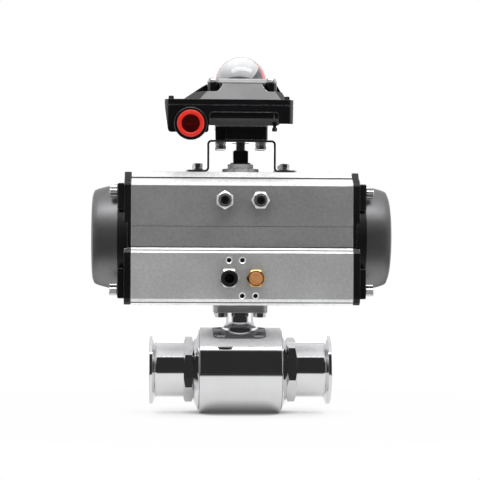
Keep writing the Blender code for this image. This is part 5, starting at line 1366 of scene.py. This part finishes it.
@dataclass
class Bracket:
    """The bent sheet bracket on the actuator, with its bolts and the slotted shaft inside it."""

    low: float = 182.3
    high: float = 211.7
    top_half: float = 31.5
    foot_half: float = 51.0
    deep: float = 23.0
    sheet: float = 2.0
    bend: float = 3.0
    foot_x: float = 40.0
    foot_y: float = 15.0
    top_x: float = 18.6
    top_y: float = 12.0
    bolt_r: float = 2.5
    flats: float = 8.0
    head: float = 3.5
    washers: float = 2.3
    eye_r: float = 9.0

    def sheet_metal(self) -> None:
        """Bend the sheet, round its corners and punch its holes."""
        leg = self.top_half - self.sheet / 2
        low, high = self.low + self.sheet / 2, self.high - self.sheet / 2
        right = arc((leg - self.bend, high - self.bend), self.bend, 90, 0, 8)
        right += arc((leg + self.bend, low + self.bend), self.bend, 180, 270, 8) + [(self.foot_half, low)]
        line = [(-x, z) for x, z in reversed(right)] + right
        outer, inner = [], []
        for number, here in enumerate(line):
            before = Vector(line[max(number - 1, 0)])
            after = Vector(line[min(number + 1, len(line) - 1)])
            along = (after - before).normalized() * self.sheet / 2
            outer.append((here[0] - along.y, here[1] + along.x))
            inner.append((here[0] + along.y, here[1] - along.x))
        plate = Solid.prism(outer + inner[::-1], -self.deep, self.deep).at(Heading.FRONT)
        corners = soften(rectangle(-self.foot_half, self.foot_half, -self.deep, self.deep), 4.0, 6)
        plate.keep(Solid.prism(corners, self.low - 5, self.high + 5))
        for x in (-self.foot_x, self.foot_x):
            for y in (-self.foot_y, self.foot_y):
                plate.cut(Solid.rod(self.bolt_r + GAP, self.low - 1, self.low + 4).at(place=(x, y, 0)))
        for x in (-self.top_x, self.top_x):
            for y in (-self.top_y, self.top_y):
                plate.cut(Solid.rod(self.bolt_r + GAP, self.high - 4, self.high + 1).at(place=(x, y, 0)))
        plate.cut(Solid.rod(self.eye_r, self.high - 4, self.high + 1, 64))
        plate.eased(0.25, limit=75).become("fine_bracket", SHEET_METAL, instead_of=("bracket",))

    def bolt(self, name: str, at: Place, grip: float, heading: Heading, instead_of: Sequence[str] = ()) -> None:
        """A hexagon head bolt with a spring washer and a flat washer under its head.

        Args:
            name: the piece's name.
            at: where its washer lies.
            grip: how far its shank reaches.
            heading: where its shank points.
            instead_of: the node that it stands for.
        """
        bolt = Solid.hexagon(self.flats, 0, self.head, both_ends=False).flipped(2)
        bolt.obj.data.transform(Matrix.Translation((0, 0, -self.washers * MM)))
        spring = Solid.rod(4.2, -self.washers - 0.05, -1.0, 48, 0.2)
        spring.cut(Solid.block(Room(2.5, 6, -0.35, 0.35, -3, -1.05)).at(spin=0.6))
        bolt.join(spring, Solid.rod(5.0, -1.05, 0, 64, 0.25), Solid.rod(self.bolt_r, -3.0, grip, 32))
        bolt.at(heading, at).become(name, ZINC, instead_of=instead_of, sharp=25)

    def build(self) -> None:
        """Build the sheet and its eight bolts."""
        self.sheet_metal()
        feet = [(x, y) for x in (-self.foot_x, self.foot_x) for y in (-self.foot_y, self.foot_y)]
        seat = self.low + self.sheet + GAP
        for number, (x, y) in enumerate(feet, 1):
            self.bolt(f"fine_foot_bolt_{number}", (x, y, seat), 9.3, Heading.DOWN, (f"foot_bolt_{number}",))
        under = self.high - self.sheet - GAP
        for number, x in enumerate((-self.top_x, self.top_x), 1):
            self.bolt(f"fine_box_bolt_{number}", (x, -self.top_y, under), 9.3, Heading.UP, (f"box_bolt_{number}",))
            self.bolt(f"rear_box_bolt_{number}", (x, self.top_y, under), 4.0, Heading.UP)
        LOG.info("bracket: sheet and eight bolts")


@dataclass
class SwitchBox:
    """The limit switch box: tray, lid, red plug, clear dome, the indicator in it and the small screws."""

    left: float = 70.6
    right: float = 46.2
    deep: float = 46.0
    corner: float = 7.0
    foot: float = 24.0
    foot_low: float = 212.0
    tray_low: float = 224.1
    tray_high: float = 241.6
    pod_low: float = 217.1
    pod_right: float = -30.8
    shelf_left: float = 33.0
    boss_x: float = -47.0
    boss_z: float = 224.8
    boss_r: float = 14.9
    boss_front: float = 49.0
    plug_r: float = 12.2
    lid_low: float = 241.9
    lid_shoulder: float = 247.1
    lid_high: float = 263.1
    base_left: float = 56.5
    base_right: float = 41.0
    top_half: float = 32.0
    slope: float = 10.0
    wall: float = 3.5
    room_left: float = 46.5
    pocket_r: float = 10.2
    pocket_deep: float = 8.2
    plate_half: float = 31.0
    plate_low: float = 263.4
    plate_high: float = 267.1
    plate_corner: float = 9.0
    dome_r: float = 24.4
    dome_wall: float = 0.8
    dome_z: float = 266.1
    screw_at: float = 26.3

    def footprint(self, inset: float = 0.0) -> list[Point]:
        """The box's outline seen from above, drawn in by an inset."""
        return soften(rectangle(-self.left + inset, self.right - inset, -self.deep + inset, self.deep - inset),
                      self.corner - inset, 8)

    def tray(self) -> None:
        """Mould the lower half: foot, recessed panels, pod, shelf and the cable boss."""
        front = [(-self.left, self.tray_high), (-self.left + 3.4, self.pod_low), (self.pod_right, self.pod_low),
                 (self.pod_right, self.tray_low), (self.shelf_left, self.tray_low),
                 (self.shelf_left, self.tray_low + 1), (self.right - 0.6, self.tray_low + 1),
                 (self.right, self.tray_high)]
        tray = Solid.prism(soften(front, [0.5, 3.0, 2.5, 1.5, 0.4, 0.4, 1.2, 0.5], 4), -self.deep, self.deep)
        tray.at(Heading.FRONT).keep(Solid.prism(self.footprint(), self.pod_low - 5, self.tray_high + 5))
        near = self.deep - 2
        side = [(-self.deep - 1, self.tray_low + 11.5), (-near, self.tray_low + 11.5), (-near, self.tray_low + 5.8),
                (-near + 8, self.tray_low), (-near + 8, self.tray_low - 1), (-self.deep - 1, self.tray_low - 1)]
        for sign in (1, -1):
            shape = Solid.prism([(sign * y, z) for y, z in soften(side, [0, 0.6, 1.0, 0.4, 0, 0], 3)],
                                self.pod_right + 1, self.shelf_left - 1)
            shape.at(Heading.PROFILE)
            rounded = soften(rectangle(self.pod_right + 1, self.shelf_left - 1, self.tray_low - 20,
                                       self.tray_low + 11.5), [2.5, 3.5, 0, 0], 6)
            tray.cut(shape.keep(Solid.prism(rounded, -self.deep - 9, self.deep + 9).at(Heading.FRONT)))
        front, inner, step = -self.foot, -self.foot + 4.0, -14.8
        plan = [(self.foot, self.foot), (-self.foot, self.foot), (-self.foot, inner), (step, inner), (step, front),
                (self.foot, front)]
        foot = Solid.prism(soften(plan, [2.5, 2.5, 2.0, 1.5, 2.2, 2.8], 6), self.foot_low,
                           self.tray_low + 1).eased(0.6, limit=75)
        rib = Solid.block(Room(28.2, 29.0, -45.2, -40.0, self.tray_low + 5.0, self.tray_low + 12.0), 0.2)
        boss_line = [(0, self.boss_front), (self.boss_r, self.boss_front), (self.boss_r, 19.0), (0, 19.0)]
        boss = Solid.turned(soften(boss_line, [0, 1.0, 0, 0], 4, closed=False), steps=96)
        tray.join(foot, rib, boss.at(Heading.FRONT, (self.boss_x, 0, self.boss_z)))
        tray.cut(Solid.block(Room(-62.5, -34.3, -18.9, 37.5, 221.1, 243)),
                 Solid.block(Room(-30.9, 43.0, -37.5, 37.5, 228.1, 243)),
                 Solid.block(Room(-34.5, -30.7, -18.9, 37.5, 228.1, 243)),
                 Solid.rod(4.4, self.foot_low - 1, 229, 48),
                 Solid.rod(10.1, 36.7, 50).at(Heading.FRONT, (self.boss_x, 0, self.boss_z)))
        for x in (-18.6, 18.6):
            for y in (-12.0, 12.0):
                tray.cut(Solid.rod(2.8, self.foot_low - 1, self.foot_low + 7, 24).at(place=(x, y, 0)))
        tray.become("fine_switch_base", GLOSS_BLACK, instead_of=("switch_base",), sharp=28)

    def plug(self) -> None:
        """Mould the red plug: a thick rim with a groove, and a deep hollow with a cross at its floor."""
        rim = self.boss_front + GAP
        face = rim + 2.0
        profile = [(0, 39.5), (7.9, 39.5), (8.2, face - 1.6), (8.9, face - 0.25), (9.6, face), (11.4, face),
                   (self.plug_r, face - 0.8), (self.plug_r, rim), (9.8, rim), (9.8, 37.0), (0, 37.0)]
        plug = Solid.turned(soften(profile, [0, 1.2, 0.6, 0.3, 0.3, 0.4, 0.4, 0.2, 0.2, 0.4, 0], 3, closed=False),
                            steps=96)
        plug.join(Solid.block(Room(-8.0, 8.0, -0.6, 0.6, 39.0, 42.0)),
                  Solid.block(Room(-0.6, 0.6, -8.0, 8.0, 39.0, 42.0)))
        plug.at(Heading.FRONT, (self.boss_x, 0, self.boss_z))
        plug.become("fine_entry_plug", RED_PLUG, instead_of=("entry_plug",), sharp=25)

    def corners(self, reach: float) -> list[Point]:
        """Four places round the stem axis, at the same reach along X and Y."""
        return [(x, y) for x in (-reach, reach) for y in (-reach, reach)]

    def lid(self) -> None:
        """Mould the lid: a flange, a low pyramid with cut corners, and pockets round four bosses."""
        flange = Solid.prism(self.footprint(), self.lid_low, self.lid_shoulder).eased(0.5, limit=75)
        low = self.chamfered(self.base_left, self.base_right, self.top_half + self.slope, (15.8, 9.0), (5.0, 5.0))
        high = self.chamfered(self.top_half, self.top_half, self.top_half, (6.5, 6.5), (6.5, 6.5))
        hood = self.tapered(low, high, self.lid_shoulder - 1, self.lid_high).eased(0.6)
        flange.join(hood)
        for x, y in self.corners(self.screw_at):
            centre = (x, math.copysign(self.screw_at + 0.7, y), 0)
            for place in (centre, (x * 1.3, y * 1.3, 0)):
                pocket = Solid.rod(self.pocket_r, self.lid_high - self.pocket_deep, self.lid_high + 1, 64)
                flange.cut(pocket.at(place=place))
            flange.join(Solid.rod(5.4, self.lid_high - 9.0, self.lid_high, 48, 0.3).at(place=(x, y, 0)))
        low_cut, high_cut = (30.0, 30.0), (22.0, 22.0)
        room_deep, room_top = self.top_half + self.slope - self.wall, self.top_half - 6
        room_low = self.chamfered(self.room_left, self.base_right - 5, room_deep, low_cut, low_cut)
        room_high = self.chamfered(room_top, room_top, room_top, high_cut, high_cut)
        flange.cut(self.tapered(room_low, room_high, self.lid_low - 1, self.lid_high - self.wall))
        flange.cut(Solid.rod(9.0, self.lid_high - 5, self.lid_high + 1, 64))
        for x, y in self.lid_screws():
            flange.cut(Solid.rod(3.2, self.lid_shoulder - 1.6, self.lid_shoulder + 9, 32).at(place=(x, y, 0)),
                       Solid.rod(2.0, self.lid_low - 1, self.lid_shoulder, 24).at(place=(x, y, 0)))
        flange.become("fine_switch_lid", GLOSS_BLACK, instead_of=("switch_lid",), sharp=28)

    @staticmethod
    def chamfered(left: float, right: float, deep: float, cut: Point, small: Point) -> list[Point]:
        """A rectangle round the stem axis with cut corners, each cut by X and Y, left and right."""
        half = [(-left, -deep + cut[1]), (-left + cut[0], -deep), (right - small[0], -deep), (right, -deep + small[1])]
        return [(x, -y) for x, y in reversed(half)] + half

    @staticmethod
    def tapered(low: Sequence[Point], high: Sequence[Point], bottom: float, top: float) -> Solid:
        """A solid whose outline changes evenly from its bottom to its top."""
        bm = bmesh.new()
        rings = [[bm.verts.new((x * MM, y * MM, z * MM)) for x, y in outline]
                 for outline, z in ((low, bottom), (high, top))]
        bm.faces.new(rings[0])
        bm.faces.new(rings[1])
        for number in range(len(low)):
            after = (number + 1) % len(low)
            bm.faces.new((rings[0][number], rings[0][after], rings[1][after], rings[1][number]))
        return Solid(bm)

    def lid_screws(self) -> list[Point]:
        """The four screws that hold the lid, in the flange's corners."""
        return [(x, y) for x in (6.0 - self.left, self.right - 6.0) for y in (6.0 - self.deep, self.deep - 6.0)]

    def screws(self) -> None:
        """The lid's black screws, the plated screws of the dome's plate and the earth screw."""
        for number, (x, y) in enumerate(self.lid_screws(), 1):
            screw = Knurled(2.4, 4.6, 1.6, 8.0, 2.5, 30, 1.6).solid().at(place=(x, y, self.lid_shoulder - 1.5))
            screw.become(f"lid_screw_{number}", BLACK_SCREW)
        for number, (x, y) in enumerate(self.corners(self.screw_at), 1):
            head = [(0, 4.9), (2.6, 4.8), (4.3, 4.0), (4.9, 2.8), (4.9, 2.2), (5.6, 2.2), (5.6, 1.2), (4.6, 1.2),
                    (4.6, 1.0), (5.8, 1.0), (5.8, 0.1), (1.7, 0.1), (1.7, -7.0), (0, -7.0)]
            screw = Solid.turned(soften(head, 0.35, 3, closed=False), steps=SMALL_STEPS)
            screw.cut(Solid.block(Room(-6.0, 6.0, -0.55, 0.55, 3.6, 6.0)).at(spin=0.35 + number),
                      Solid.hexagon(2.6, 3.0, 6.0, both_ends=False))
            screw.at(place=(x, y, self.lid_high + GAP)).become(f"dome_screw_{number}", ZINC, sharp=25)
        screw = Knurled(2.3, 3.4, 1.5, 5.0, 2.5, 24, 1.6).solid()
        screw.at(Heading.DOWN, (29.3, -37.0, self.tray_low - 1.9)).become("earth_screw", BLACK_SCREW)

    def window(self) -> None:
        """The clear dome and its pale square plate."""
        half = self.plate_half
        outline = soften(rectangle(-half, half, -half, half), self.plate_corner, 8)
        plate = Solid.prism(outline, self.plate_low, self.plate_high).eased(0.5, limit=75)
        plate.cut(Solid.rod(self.dome_r + 0.1, self.plate_low - 1, self.plate_high + 1, 128))
        for x, y in self.corners(self.screw_at):
            plate.cut(Solid.rod(6.3, self.plate_low - 1, self.plate_high + 1, 48).at(place=(x, y, 0)))
        middle, inset = (self.plate_low + self.plate_high) / 2, half - 0.7
        groove = Solid.prism(rectangle(-half - 1, half + 1, -half - 1, half + 1), middle - 0.3, middle + 0.3)
        groove.cut(Solid.prism(soften(rectangle(-inset, inset, -inset, inset), self.plate_corner - 0.7, 8),
                               middle - 1, middle + 1))
        plate.cut(groove)
        plate.become("fine_dome_plate", FROSTED, instead_of=("dome",), sharp=35)
        inner = self.dome_r - self.dome_wall
        shell = [(0, self.dome_z + self.dome_r), *self.quarter(self.dome_r)[1:], (self.dome_r, self.plate_low),
                 (inner, self.plate_low), *reversed(self.quarter(inner)[1:]), (0, self.dome_z + inner)]
        dome = Solid.turned(shell, steps=128)
        dome.become("fine_dome", CLEAR, instead_of=("dome",), sharp=35)
        dome.obj.visible_shadow = False

    def quarter(self, radius: float, steps: int = 24) -> list[Point]:
        """A quarter circle about the dome's centre, from the top down."""
        return [(radius * math.sin(angle), self.dome_z + radius * math.cos(angle))
                for angle in (math.pi / 2 * step / steps for step in range(steps + 1))]

    def signal(self) -> None:
        """The indicator: a coloured shell with its hub on the shaft."""
        radius = self.dome_r - self.dome_wall - 0.3
        low = self.plate_high + 0.1
        outer = [(0, self.dome_z + radius), *self.quarter(radius)[1:-1], (radius, low)]
        inner = [(radius - 1.5, low), *reversed(self.quarter(radius - 1.5, 16)[1:-1]), (0, self.dome_z + radius - 1.5)]
        shell = Solid.turned(outer + inner, steps=128)
        hub = Solid.turned([(4.4, 262.0), (7.5, 262.0), (7.5, 286.0), (4.4, 286.0)], ring=True, steps=64)
        shell.join(hub)
        shell.become("fine_indicator", SIGNAL, body="beacon_shaft", instead_of=("indicator",), sharp=35)

    def build(self) -> None:
        """Build the box, its plug, its window and its screws."""
        self.tray()
        self.plug()
        self.lid()
        self.window()
        self.signal()
        self.screws()
        LOG.info("switch box: tray, lid, plug, dome, indicator and screws")


class Insides:
    """The nodes of the frame that are shown as they are, with finishes of their own, and the two springs."""

    @staticmethod
    def spring(side: str) -> None:
        """Copy one return spring's mesh, give it spring steel and hide its frame node.

        Args:
            side: left or right.
        """
        name = f"{side}_spring"
        coil = bpy.data.objects.new(f"fine_{name}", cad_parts[name].data.copy())
        bpy.context.scene.collection.objects.link(coil)
        SPRING_STEEL.cover(coil)
        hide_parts(name)
        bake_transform(coil)

    @staticmethod
    def build() -> None:
        """Dress the valve's, the actuator's and the switch box's inner parts."""
        sides = ("left", "right")
        SEAL_WHITE.dress(*(f"{side}_{part}" for side in sides for part in ("seat", "body_seal")), "stem_packing")
        STEEL_DRAWN.dress("ball")
        ZINC_TURNED.dress("valve_stem", "packing_gland")
        DARK_STEEL.dress("switch_shaft")
        BLACK_SCREW.dress("pinion")
        PISTON.dress(*(f"{side}_piston" for side in sides))
        RUBBER.dress(*(f"{side}_piston_ring" for side in sides))
        for side in sides:
            Insides.spring(side)
        GREY_PLASTIC.dress("lower_cam", "upper_cam", "lower_microswitch", "upper_microswitch")
        LOG.info("insides: seats, seals, stem, ball, pistons, springs, shaft, cams and switches")


def main() -> None:
    """Build every sub-assembly in order."""
    logging.basicConfig(level=logging.INFO, format="%(message)s")
    Stage().build()
    Valve().build()
    Actuator().build()
    Bracket().build()
    SwitchBox().build()
    Insides.build()


if __name__ == "__main__":
    main()
